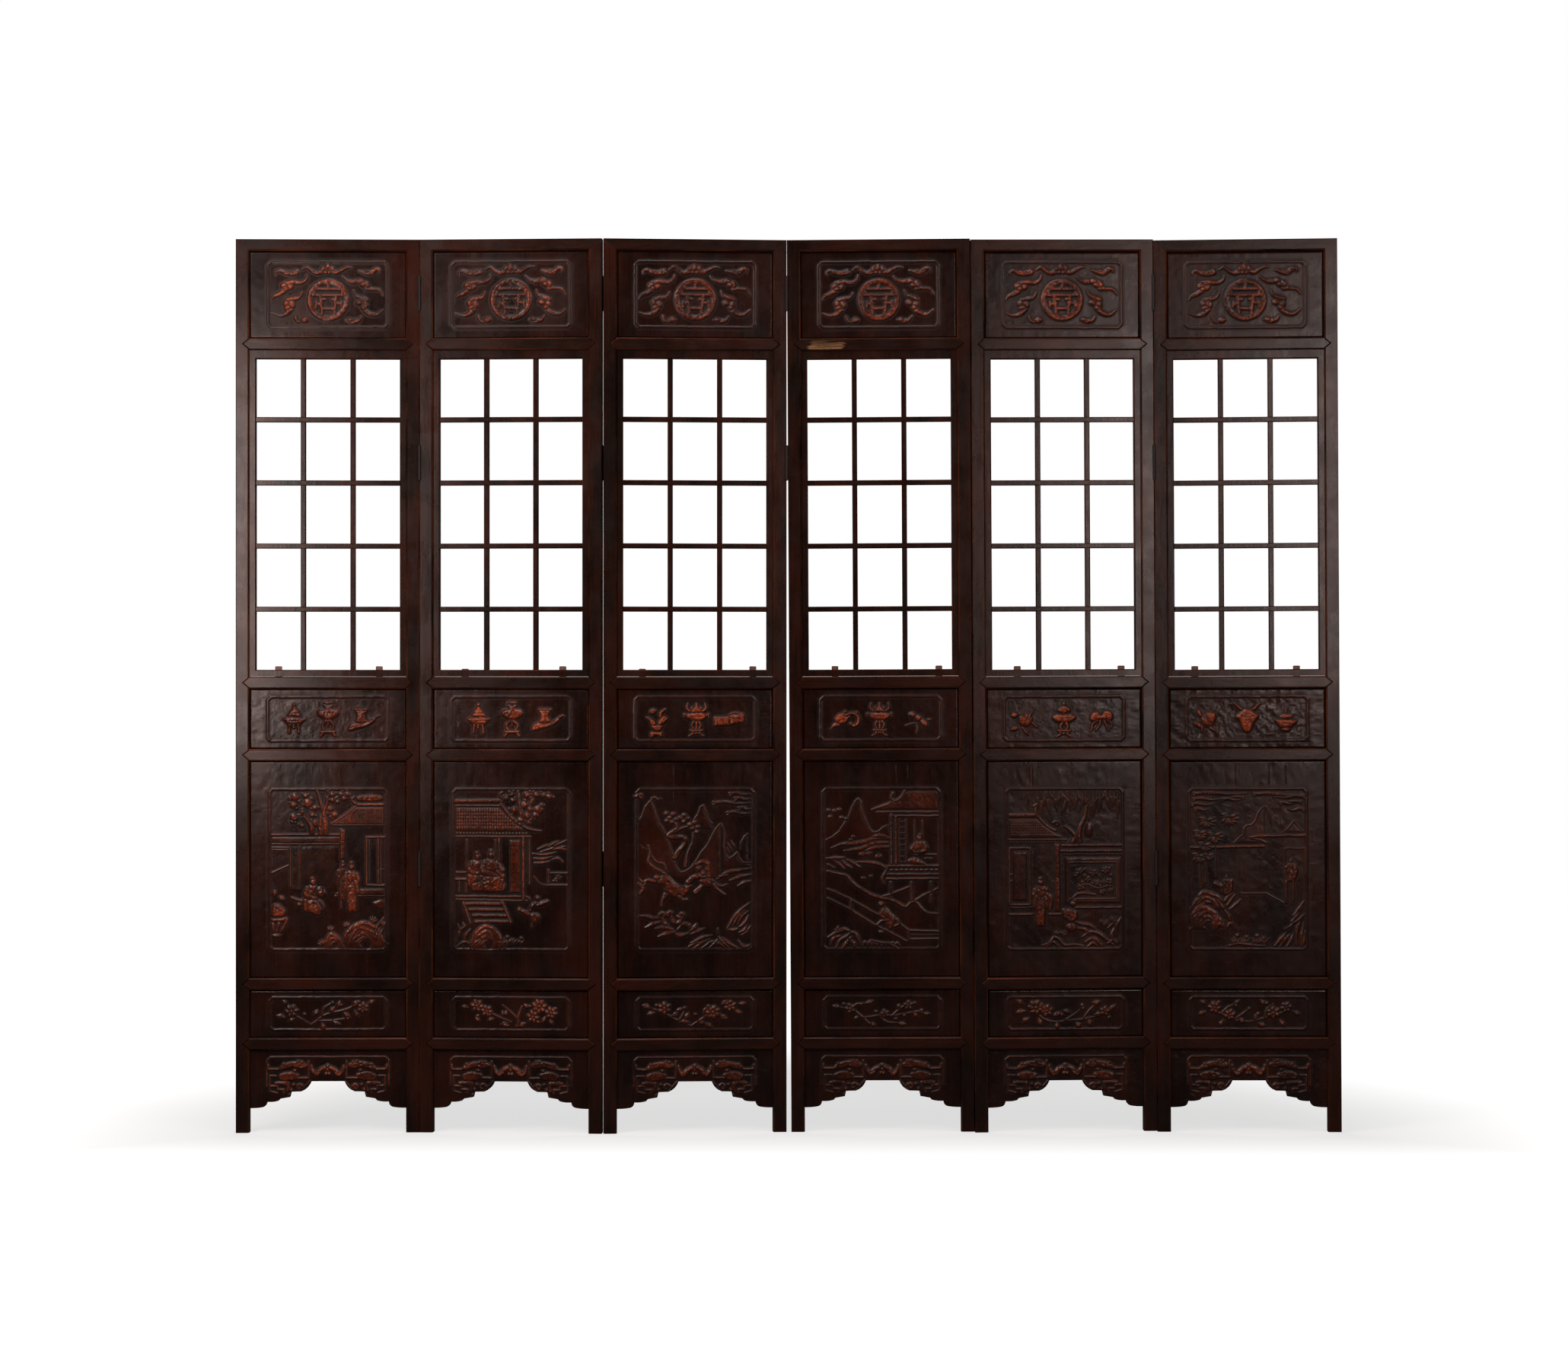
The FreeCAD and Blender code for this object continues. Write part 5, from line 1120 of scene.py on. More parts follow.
def scene_river_terrace(c, draw):
    """A river terrace among bamboo, clouds and far hills."""
    for u, v, length, way in ((22, 22.6, 40, 1), (60, 26, 16, -1), (68, 23.4, 38, 1), (22, 27, 20, 1),
                              (44, 27.4, 14, 1), (104, 29.6, 18, -1), (20.6, 31, 16, 1),
                              (107, 25.4, 24, -1), (23, 35, 9, 1), (106, 35.4, 12, -1),
                              (88, 30.4, 10, 1)):
        cloud(c, u, v, length, 2, way, 1.6)
    for i in range(6):
        c.dome(27 + 2.1 * i, 22.6, 0.9, 0.9, 2.4, 0, 0.2)
        c.dome(77.6 + 2.4 * i, 23.6, 0.9, 0.9, 2.4, 0, 0.2)
    ridge(c, [(52.6, 61.6), (56.4, 57), (59.6, 55), (60.2, 50), (62, 47.6), (66, 47.2), (69, 44),
              (71, 38), (73.6, 34.6), (76.6, 32.6)], 2, 62, 1.6)
    ridge(c, [(90.4, 53.4), (95, 48.6), (98.6, 44), (102, 48.6), (105.4, 52.6)], 1.8, 54, 1.2)
    c.stroke([(77, 33), (79.6, 38), (81, 46)], (1.2, 0.8), 1.3)
    bars(c, [[(19.6, 64.8), (75.6, 63.6)]], 1.6, 2.6, 0.5)
    bars(c, [[(64.6, 57), (71, 56), (107, 55.2)]], 1.6, 2.6, 0.5)
    c.stroke([(65, 57.6), (73, 59), (77, 61)], (1, 1.2), 1.7, 0.3)
    for u, v, size in ((49, 41, 8), (32, 43.6, 7.4), (26.6, 53.6, 6.6), (37.6, 55.4, 7.4),
                       (30.2, 63, 6.6), (26, 71.6, 7), (33, 71, 5.4)):
        bamboo_spray(c, u, v, size, 2.3)
    for run in ([(38.4, 58), (38.8, 70), (39, 88)], [(30.6, 76), (31, 92)], [(26, 78), (27, 96)]):
        c.stroke(run, (1.2, 1.5), 1.8, 0.4, sharp=True)
    bars(c, [[(91.6, 65.6), (106.6, 65.6)], [(106.6, 65.6), (106.6, 87)], [(91.6, 66), (91.6, 108)]], 1,
         1.6)
    robe(c, 96, 74, 17, 0.02, 0.3, 2.8)
    c.dome(92.6, 80.4, 1.8, 2, 2.6, 0, 0.4)
    c.stroke([(98.4, 79.6), (99.8, 84), (98, 89)], (2.2, 2.6, 2), 2.8, 0.4)
    c.stroke([(92.6, 91), (93, 108)], 1.2, 1.5)
    c.stroke([(97.6, 91), (97.6, 106)], 1.2, 1.4)
    robe(c, 46.6, 86.6, 15, 0.05, 0.3, 2.7)
    c.stroke([(38.6, 93), (42.6, 95), (43, 99.6)], (2.4, 2.6, 1.8), 2.4, 0.5)
    c.stroke([(50.6, 91), (50.2, 96), (49, 101)], (2.2, 2.4, 1.6), 2.6, 0.4)
    c.strokes([[(47, 110), (50, 106), (53, 102)], [(49, 113), (54, 109), (57, 106)],
               [(45, 107), (48, 103), (50.6, 101)]], (1.4, 2.2, 1.2), 2.3, 0.5)
    bars(c, [[(57.6, 100.6), (77.2, 100.6)], [(77.2, 100.6), (91, 108.4)]], 0.9, 1.3)
    rock(c, 32.6, 112, 24, 12, 3, 2.6, draw)
    crags(c, [[(20, 112), (24, 106), (30, 101)], [(20, 118), (24, 112), (28, 108)],
              [(38, 104), (43, 110), (48, 117)]], 2.2, 2.5)
    rock(c, 32.4, 128, 25, 17, 4, 2.8, draw)
    rock(c, 41, 128.6, 9, 8, 2, 2.8, draw)
    crags(c, [[(20, 126), (23, 118), (28, 114)], [(45, 113), (48.6, 119), (50, 125)],
              [(47, 128), (49.6, 124), (52, 128)]], 2.2, 2.5)
    for u in (54, 61, 69, 74):
        grass(c, u, 141.6, 8, 4, 2.3, (u - 63) * 0.8, 30)
        c.dome(u + 1, 133.6 + (u % 3), 1.6, 1.4, 2.7, 0, 0.4)
    c.stroke([(48, 141.6), (56, 139.6), (66, 140.8), (76, 141.4)], (1, 1.8, 1), 2.2, 0.4)
    crags(c, [[(83, 142), (88, 136), (91.6, 131.6)], [(87, 142.6), (91, 137), (95, 132.6)],
              [(92, 142.6), (95.6, 137.6), (97, 133)],
              [(99.6, 141), (100, 132), (101.6, 125), (104.4, 119)],
              [(103, 141), (104, 133), (105.4, 124)], [(96, 123), (100, 118), (105, 111)],
              [(97, 118.6), (101, 114), (106, 106.6)], [(98, 124), (102, 121), (106, 117)],
              [(106.6, 130), (105.6, 137), (103.6, 142.6)]], 2.3, 2.6)
    c.stroke([(90, 128.6), (95, 126.6), (98, 123)], (0.8, 1.2), 1.6, 0.3)


# The drawing of each tall board, the edges of its sheet, how much wider its free-hand cuts are than
# drawn, and the hairline drying splits in it: place across, and levels from and to
scenes = {
    "leaf_1": (scene_courtyard, (15, 19.5, 107.5, 145), 1.35, ()),
    "leaf_2": (scene_tea_hall, (19, 20.5, 110.5, 145), 1.35, ()),
    "leaf_3": (scene_rider, (20.5, 21, 110, 144), 1.6, ((49, 2, 30),)),
    "leaf_4": (scene_pavilion, (19.5, 20.5, 110.5, 143), 1.5, ((77, 2, 16), (86, 2, 12))),
    "leaf_5": (scene_garden_wall, (17, 19.5, 108, 144), 1.45, ((37, 2, 18),)),
    "leaf_6": (scene_river_terrace, (18.5, 19, 108, 144), 1.55,
               ((53.5, 2, 20), (79, 2, 18), (92, 2, 16))),
}


def carve_scene(c, leaf, field, draw):
    drawing, edges, boldness, splits = scenes[leaf]
    c.sheet(edges, field)
    c.bold = boldness
    drawing(c, draw)
    for u, start, end in splits:
        c.groove([(u, start), (u + 0.25, (start + end) / 2), (u, end)], 0.45, 1.3)


# Flower sprays on the low boards

def spray(c, stems, flowers, leaf_spots, buds, rise=3):
    """Stems first, then leaves, open flowers and buds over them."""
    for run in stems:
        c.stroke(run, (1, 1.6, 0.9), rise * 0.62, 0.4)
    for u, v, length, angle in leaf_spots:
        leaf_blade(c, u, v, length, length * 0.42, angle, rise * 0.9)
    for u, v, r, petals in flowers:
        blossom(c, u, v, r, petals, rise, u * 7)
    for u, v in buds:
        c.dome(u, v, 1.7, 1.4, rise, 20, 0.4)


flower_sprays = {
    "leaf_1": dict(
        stems=[[(60, 46), (74, 36), (90, 32), (104, 26)], [(60, 46), (50, 40), (40, 34)],
               [(70, 38), (72, 30), (80, 25)], [(66, 42), (80, 42), (92, 40)]],
        flowers=[(42, 33, 6.5, 6), (108, 30, 5.5, 6)],
        leaf_spots=[(46, 40, 9, 150), (36, 40, 9, 200), (38, 28, 8, 230), (62, 38, 8, -60),
                    (76, 34, 8, -40), (84, 31, 9, -70), (90, 34, 9, 40), (98, 29, 9, -50),
                    (100, 32, 9, 60), (80, 42, 9, 30), (112, 26, 8, -30), (70, 44, 8, 70)],
        buds=[(80, 25), (94, 40), (88, 27), (54, 36), (104, 24)]),
    "leaf_2": dict(
        stems=[[(68, 27), (76, 34), (83, 42), (80, 47)], [(86, 28), (83, 36), (82, 44)],
               [(56, 34), (64, 38), (76, 43)], [(90, 44), (86, 46), (80, 47)]],
        flowers=[(44, 27.6, 6.2, 6), (53, 32.6, 5.4, 6), (102, 28, 7, 7), (96, 38, 6, 6),
                 (113, 34, 6, 6)],
        leaf_spots=[(46, 36, 7, 120), (42, 38, 7, 40), (68, 32, 6, 80), (72, 32, 6, 100),
                    (66, 46, 8, -20), (90, 44, 8, 150), (104, 44, 8, -60), (36, 30, 7, 190),
                    (92, 30, 6, 220), (112, 40, 7, 60), (74, 47, 7, 190), (60, 40, 7, 160)],
        buds=[(46, 26), (56, 36), (101, 43), (93, 28), (117, 30)]),
    "leaf_3": dict(
        stems=[[(36, 30), (46, 34), (60, 42), (72, 47)], [(72, 47), (82, 40), (92, 33)],
               [(60, 42), (64, 36), (66, 30)], [(84, 38), (84, 32), (90, 28)]],
        flowers=[(47, 30, 6.4, 6), (92, 34, 6.8, 7), (108, 28, 5.6, 6)],
        leaf_spots=[(34, 30, 9, 200), (38, 34, 8, 160), (54, 38, 8, -40), (66, 42, 9, -70),
                    (78, 42, 8, 20), (84, 44, 9, 30), (98, 36, 9, 30), (100, 27, 8, -40),
                    (112, 32, 8, 20), (58, 32, 7, -20), (116, 26, 7, -10), (70, 44, 8, 190)],
        buds=[(66, 30), (76, 36), (102, 38), (40, 27), (88, 28)]),
    "leaf_4": dict(
        stems=[[(36, 30), (48, 32), (58, 40), (64, 46)], [(58, 40), (72, 38), (84, 38), (98, 36)],
               [(46, 32), (52, 27), (60, 26)], [(84, 38), (94, 30), (102, 27)],
               [(72, 38), (80, 44), (90, 45)], [(98, 36), (108, 34), (114, 36)]],
        flowers=[(46, 31, 5, 5), (100, 28, 4.6, 5), (78, 36, 4.2, 5)],
        leaf_spots=[(36, 30, 7, 190), (60, 26, 8, -20), (54, 38, 7, 130), (90, 32, 6, -80),
                    (104, 34, 8, 50), (114, 36, 6, 0), (90, 45, 8, 10), (66, 44, 6, 60)],
        buds=[(56, 27), (40, 27), (112, 33), (96, 38), (88, 41), (106, 26), (70, 34)]),
    "leaf_5": dict(
        stems=[[(66, 44), (74, 43), (82, 38), (88, 33)], [(74, 43), (88, 42), (100, 40), (112, 36)],
               [(48, 36), (58, 42), (66, 44)], [(92, 41), (98, 33), (104, 27)]],
        flowers=[(48, 30, 7.4, 7), (58, 33, 6, 6), (112, 34, 4.6, 5)],
        leaf_spots=[(38, 34, 9, 170), (42, 40, 9, 140), (50, 40, 9, 60), (64, 38, 8, -30),
                    (80, 36, 8, 200), (84, 44, 9, 40), (96, 41, 9, 60), (100, 26, 9, -10),
                    (102, 38, 8, -20), (116, 33, 8, -40), (36, 27, 8, 210), (68, 44, 8, 90)],
        buds=[(91, 28), (92, 31), (106, 25), (72, 37), (116, 40)]),
    "leaf_6": dict(
        stems=[[(38, 30), (50, 36), (62, 42), (76, 44)], [(76, 44), (90, 40), (104, 36), (114, 30)],
               [(50, 36), (56, 30), (62, 27)], [(90, 40), (92, 32), (98, 27)],
               [(62, 42), (70, 36), (76, 31)]],
        flowers=[(44, 30, 5.8, 6), (58, 37, 5.4, 6), (98, 35, 6.2, 6), (110, 30, 5.2, 6)],
        leaf_spots=[(36, 34, 8, 150), (36, 27, 7, 210), (52, 42, 8, 110), (66, 40, 8, 40),
                    (80, 42, 8, -60), (84, 45, 8, 20), (104, 42, 8, 50), (116, 34, 8, 20),
                    (90, 28, 7, 230), (62, 27, 7, -40)],
        buds=[(64, 28), (76, 31), (92, 26), (84, 36), (48, 25)]),
}


def carve_flowers(c, leaf, field, draw):
    c.sheet((21.5, 20, 129.6, 51), field)
    c.bold = 1.5
    spray(c, **flower_sprays[leaf])


# How the framed boards of a leaf are carved, from the top down: each way takes the carving, the
# leaf, the edges of the field and the leaf's random values, needed or not
carvers = {"crest": carve_crest, "treasure": carve_treasures, "scene": carve_scene,
           "flower": carve_flowers}


# Apron: a bat between two square-cut dragons

def carve_apron(c, field):
    c.sheet((23, 75, 130.5, 117), field)
    c.bold = 1.3
    c.stroke([(23.4, 100), (23.4, 78), (26.6, 75.4), (127, 75.4), (130.2, 78.6), (130.2, 100)],
             (1.6, 1.6, 1.6), 1.7, sharp=True)
    middle = 76.4
    c.dome(middle, 84.6, 3, 4, 4.2, 0, 0.6)
    c.dome(middle - 1.2, 89.6, 1.8, 1.8, 3.8, 0, 0.3)
    c.dome(middle + 1.4, 89.6, 1.8, 1.8, 3.8, 0, 0.3)
    for side in (-1, 1):
        def at(points, side=side):
            return [(middle + side * u, v) for u, v in points]

        c.stroke(at([(2.6, 84.6), (6, 86.4), (10, 90.4), (13.4, 86.6), (14.2, 83)]), (3.4, 4.2, 3.4, 1.8),
                 3.6, 0.6)
        c.groove(at([(5, 87), (10, 89)]), 0.7, 1.3)
        masses = [
            ([(18, 81.4), (24, 79.2), (33, 79.4), (40.6, 82.2), (43.4, 86.6), (36, 85.8), (30, 84.2),
              (24, 85.4), (18.6, 84.6)], 2.4),
            ([(24.6, 90.2), (31, 88), (38, 88.4), (43, 91), (41, 95.2), (34, 95.4), (27, 94.2)], 2),
            ([(33.6, 96.6), (45.4, 96.4), (45.6, 99.4), (36.6, 99.8), (36.8, 104.6), (34, 104.6)], 1.9),
        ]
        for mass, rise in masses:
            c.form(at(mass), rise, 1.3, 0.6)
        frets = [
            ([(16.6, 79.2), (16.6, 93)], 1.7, 2),
            ([(16.6, 93.2), (26, 93.2)], 1.9, 2.2),
            ([(43, 85.8), (51.4, 85.8), (52, 82.4)], 2, 2.4),
            ([(38.4, 106), (38.4, 103), (43.6, 103), (43.6, 100), (51, 100)], 1.7, 1.8),
            ([(45, 91.4), (50.4, 91.4), (50.4, 104.4), (44, 106)], 1.5, 1.6),
        ]
        for run, width, rise in frets:
            c.stroke(at(run), width, rise, 0.5, sharp=True, flat=0.25)
        curl(c, middle + side * 24.6, 101, 2.8, 1.1, 2.1, 2.4, 200 if side > 0 else -20, side)
        for spine in (22, 27, 32, 37):
            c.groove(at([(spine, 80.4), (spine - 1.6, 84.6)]), 0.7, 1.2)
            c.groove(at([(spine + 3, 89), (spine + 1.4, 94.6)]), 0.7, 1.1)
        for u, v in ((22.4, 79.6), (25.6, 79), (28.6, 86.9), (29.7, 98.8), (31.8, 103), (38.6, 81.6)):
            c.dome(middle + side * u, v, 1.5, 1.3, 3.9, 0, 0.3)
        c.stroke(at([(15.6, 95.8), (20.6, 101.4), (25.6, 106.4), (33.6, 106.8), (34.6, 110.6),
                     (44, 113)]), 1.1, 1.5, sharp=True)


# Boards made from the carvings

def apron_low_edge(x, half, bottom, top):
    """Level of the apron's lower edge at each x, in mm above the floor."""
    points = [(0.0, apron_edge_shares[0][1])]
    for share, drop, sag in apron_edge_shares:
        before = points[-1]
        for t in (0.25, 0.5, 0.75) if sag else ():
            bulge = 4 * sag * t * (1 - t) * arc_fullness
            points.append((before[0] + (share - before[0]) * t - bulge * arc_lean,
                           before[1] + (drop - before[1]) * t + bulge))
        points.append((share, drop))
    points = np.array(points)
    drops = np.interp(np.abs(x) / half, points[:, 0], points[:, 1])
    return top - drops * (top - bottom)


def even_lines(low, high, fine_low, fine_high):
    """Grid lines, fine over the carved field and coarse beside it."""
    beside = max(2, int(math.ceil((fine_low - low) / coarse_face)))
    above = max(2, int(math.ceil((high - fine_high) / coarse_face)))
    middle = int(math.ceil((fine_high - fine_low) / fine_face))
    return np.concatenate([np.linspace(low, fine_low, beside, endpoint=False),
                           np.linspace(fine_low, fine_high, middle, endpoint=False),
                           np.linspace(fine_high, high, above)])


def sampled(grid, carving, x, drop):
    """Values of a raster at any places, with x across and drop down from the top, in mm."""
    col = np.clip((x - carving.x[0]) / raster_cell, 0, carving.x.size - 1.001)
    row = np.clip(drop / raster_cell, 0, carving.z.size - 1.001)
    c, r = col.astype(int), row.astype(int)
    u, v = col - c, row - r
    return ((grid[r, c] * (1 - u) + grid[r, c + 1] * u) * (1 - v)
            + (grid[r + 1, c] * (1 - u) + grid[r + 1, c + 1] * u) * v)


def painted_light_and_rub_on(carving, rise, x, drop, rub):
    """Shares at each place: rubbed forms, proud edges lightened by rubbing and a painted highlight, and
    pits darkened as painted shade.
    """
    around = softened(carving.rise, around_radius)
    rub = rub * (1 - sampled(carving.quiet, carving, x, drop))
    lift = (high_share * np.clip((rise - high_from) / high_span, 0, 1)
            + low_share * np.clip((rise - low_from) / low_span, 0, 1)) * rub
    # Proud edges are lightened partly by rubbing and partly as a painted highlight
    proud = sampled(carving.rise - around, carving, x, drop)
    edge = np.clip((proud - edge_from) / edge_span, 0, 1) * rub
    # Painted shade: pits, which lie below what is around them, are darkened
    pit_shade = np.clip(sampled(around - carving.rise, carving, x, drop) / pit_span, 0, 1)
    return np.stack([lift, edge, pit_shade, np.ones_like(lift)], axis=-1).reshape(-1, 4)


def board_shell(front, rows, cols, tongues):
    """Corners and faces of a closed board behind a front of rows and columns of points.

    Returns the corners, the four-sided faces of front and sides, and the ring of the back face.
    """
    rim = np.concatenate([np.arange(cols), np.arange(1, rows) * cols + cols - 1,
                          (rows - 1) * cols + np.arange(cols - 2, -1, -1),
                          np.arange(rows - 2, 0, -1) * cols])
    low, high = front.min(0), front.max(0)
    middle, half = (low + high) / 2, (high - low) / 2
    middle[1], half[1] = 0, 1
    out = np.array((half[0] + tongue_length, 1, half[2] + tongue_length)) / half
    rings = [(board_thickness / 2, False)]
    if tongues:
        rings = [(-tongue_thickness / 2, False), (-tongue_thickness / 2, True),
                 (tongue_thickness / 2, True), (tongue_thickness / 2, False)] + rings
    corner = (np.arange(rows - 1)[:, None] * cols + np.arange(cols - 1)[None, :]).ravel()
    points = [front]
    faces = [np.stack([corner, corner + 1, corner + cols + 1, corner + cols], axis=1)]
    before = rim
    for i, (depth, spread) in enumerate(rings):
        ring = front[rim]
        if spread:
            ring = middle + (ring - middle) * out
        ring[:, 1] = depth
        points.append(ring)
        here = rows * cols + i * len(rim) + np.arange(len(rim))
        faces.append(np.stack([before, here, np.roll(here, -1), np.roll(before, -1)], axis=1))
        before = here
    return np.vstack(points), np.vstack(faces), before[::-1]


def carved_board(name, space, carving, x, z, top, rub, tongues, finish):
    """A closed board with a carved front. x and z are grids of places in the leaf, in mm."""
    rise = sampled(carving.rise, carving, x, top - z)
    front = np.stack([x, -board_thickness / 2 - relief_depth * rise, z], axis=-1).reshape(-1, 3)
    points, quads, back = board_shell(front, *x.shape, tongues)
    matrix = np.array(space)
    placed = points * MM @ matrix[:3, :3].T + matrix[:3, 3]
    mesh = bpy.data.meshes.new(name)
    mesh.vertices.add(len(points))
    mesh.vertices.foreach_set("co", placed.ravel())
    mesh.loops.add(quads.size + len(back))
    mesh.loops.foreach_set("vertex_index", np.concatenate([quads.ravel(), back]))
    mesh.polygons.add(len(quads) + 1)
    mesh.polygons.foreach_set("loop_start", np.arange(len(quads) + 1) * 4)
    carved_faces = (x.shape[0] - 1) * (x.shape[1] - 1)
    mesh.polygons.foreach_set("use_smooth", np.arange(len(quads) + 1) < carved_faces)
    mesh.update(calc_edges=True)
    mesh.validate()
    values = np.zeros((len(points), 4))
    values[:len(front)] = painted_light_and_rub_on(carving, rise, x, top - z, rub)
    mesh.color_attributes.new("wear_and_painted_light", "FLOAT_COLOR", "POINT").data.foreach_set("color", values.ravel())
    mesh.materials.append(finish)
    piece = bpy.data.objects.new(name, mesh)
    bpy.context.scene.collection.objects.link(piece)
    return piece


def wander(carving, cell, draw):
    """Smooth random values over the raster, which change over so many mm."""
    shape = (int(carving.z[-1] / cell) + 4, int(carving.x.size * raster_cell / cell) + 4)
    values = draw.normal(0, 1, shape)
    rows = np.linspace(0, shape[0] - 1.001, carving.z.size)
    cols = np.linspace(0, shape[1] - 1.001, carving.x.size)
    r, c = rows.astype(int), cols.astype(int)
    v, u = (rows - r)[:, None], (cols - c)[None, :]
    v, u = v * v * (3 - 2 * v), u * u * (3 - 2 * u)
    top_row = values[r][:, c] * (1 - u) + values[r][:, c + 1] * u
    low_row = values[r + 1][:, c] * (1 - u) + values[r + 1][:, c + 1] * u
    return top_row * (1 - v) + low_row * v


def finish_by_hand(carving, seed, waves=1.0):
    """Lines that waver as a knife does, facets and cuts on what is raised, waves in the ground."""
    draw = np.random.default_rng(seed)

    def layers(pairs):
        return sum(height * wander(carving, cell, draw) for height, cell in pairs)

    x, drop = np.meshgrid(carving.x, carving.z)
    rise = softened(carving.rise, knife_radius)
    sway, sink = layers([knife_sway]), layers([knife_sway])
    rise = sampled(rise, carving, x + sway, drop + sink)
    body = softened(np.clip(rise, 0, body_height), body_radius)
    rise = np.maximum(rise, body_swell * body - body_sink)
    raised = np.clip((rise - raised_from) / raised_span, 0, 1)
    rise += raised * layers(facets)
    for cell in cut_cells:
        cut = np.clip(1 - np.abs(wander(carving, cell, draw)) / cut_width, 0, 1)
        rise -= raised * cut_depth * cut
    rise += waves * layers(gouge_waves)
    carving.rise = rise


def set_in_place(piece, plain, leaf):
    """Lets a carved board take the place of its plain board and ride with its leaf."""
    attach(piece, leaf)
    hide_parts(plain)


def make_board(leaf, kind, space, draw, rub, finish, seed):
    """Carves one framed board and sets it where its plain board is."""
    plain = "%s_%s_panel" % (leaf, kind)
    side, end = margins[kind]
    half, bottom, top = opening_of(plain, space)
    carving = Carving(half, top - bottom)
    field = carving.bead(half - side, end, top - bottom - end)
    carvers[kind](carving, leaf, field, draw)
    usual_waves = crest_waves if kind == "crest" else other_waves
    finish_by_hand(carving, seed, board_waves.get(plain, usual_waves))
    xs = even_lines(-half, half, side - half - fine_beyond, half - side + fine_beyond)
    zs = even_lines(bottom, top, bottom + end - fine_beyond, top - end + fine_beyond)
    x, z = np.meshgrid(xs, zs)
    name = "%s_%s_carving" % (leaf, kind)
    set_in_place(carved_board(name, space, carving, x, z, top, rub, True, finish), plain, leaf)


def make_apron(leaf, space, rub, finish, seed):
    """Carves one apron along its stepped lower edge."""
    plain = leaf + "_apron"
    side, end = margins["apron"]
    half, bottom, top = opening_of(plain, space, True)
    carving = Carving(half, top - bottom)
    carve_apron(carving, (side - half, end, half - side, top - bottom - end * 0.3))
    finish_by_hand(carving, seed)
    steps = [share * half for share, _, _ in apron_edge_shares[:-1]]
    xs = np.unique(np.round(np.concatenate([np.arange(-half, half, fine_face), [half],
                                            steps, [-s for s in steps]]), 3))
    low = apron_low_edge(xs, half, bottom, top)
    share = np.linspace(0, 1, int((top - bottom) / fine_face))[:, None]
    x, z = np.broadcast_to(xs, (share.size, xs.size)), low + (top - low) * share
    name = leaf + "_apron_carving"
    set_in_place(carved_board(name, space, carving, x, z, top, rub, False, finish), plain, leaf)


# Finishes

def linear(code):
    """The linear colour of an sRGB hex value."""
    parts = [int(code[i:i + 2], 16) / 255 for i in (1, 3, 5)]
    return [p / 12.92 if p <= 0.04045 else ((p + 0.055) / 1.055) ** 2.4 for p in parts] + [1.0]


def node(tree, kind, settings=(), **links):
    """Adds one node with its settings, and links what feeds its sockets.

    A link is named after its socket, with _ for a blank, or s and the socket's number. A node
    given as a source stands for its first output.
    """
    made = tree.nodes.new("ShaderNode" + kind)
    for key, value in dict(settings).items():
        if isinstance(key, str) and hasattr(made, key):
            setattr(made, key, value)
        else:
            made.inputs[key].default_value = value
    for key, source in links.items():
        key = key.replace("_", " ")
        source = source.outputs[0] if isinstance(source, bpy.types.Node) else source
        tree.links.new(source, made.inputs[int(key[1:]) if key[1:].isdigit() else key])
    return made


def fresh_material(name):
    """An empty material, its tree and the place of a spot on its object, in metres."""
    material = bpy.data.materials.new(name)
    material.use_nodes = True
    tree = material.node_tree
    tree.nodes.clear()
    return material, tree, node(tree, "TexCoord").outputs["Object"]


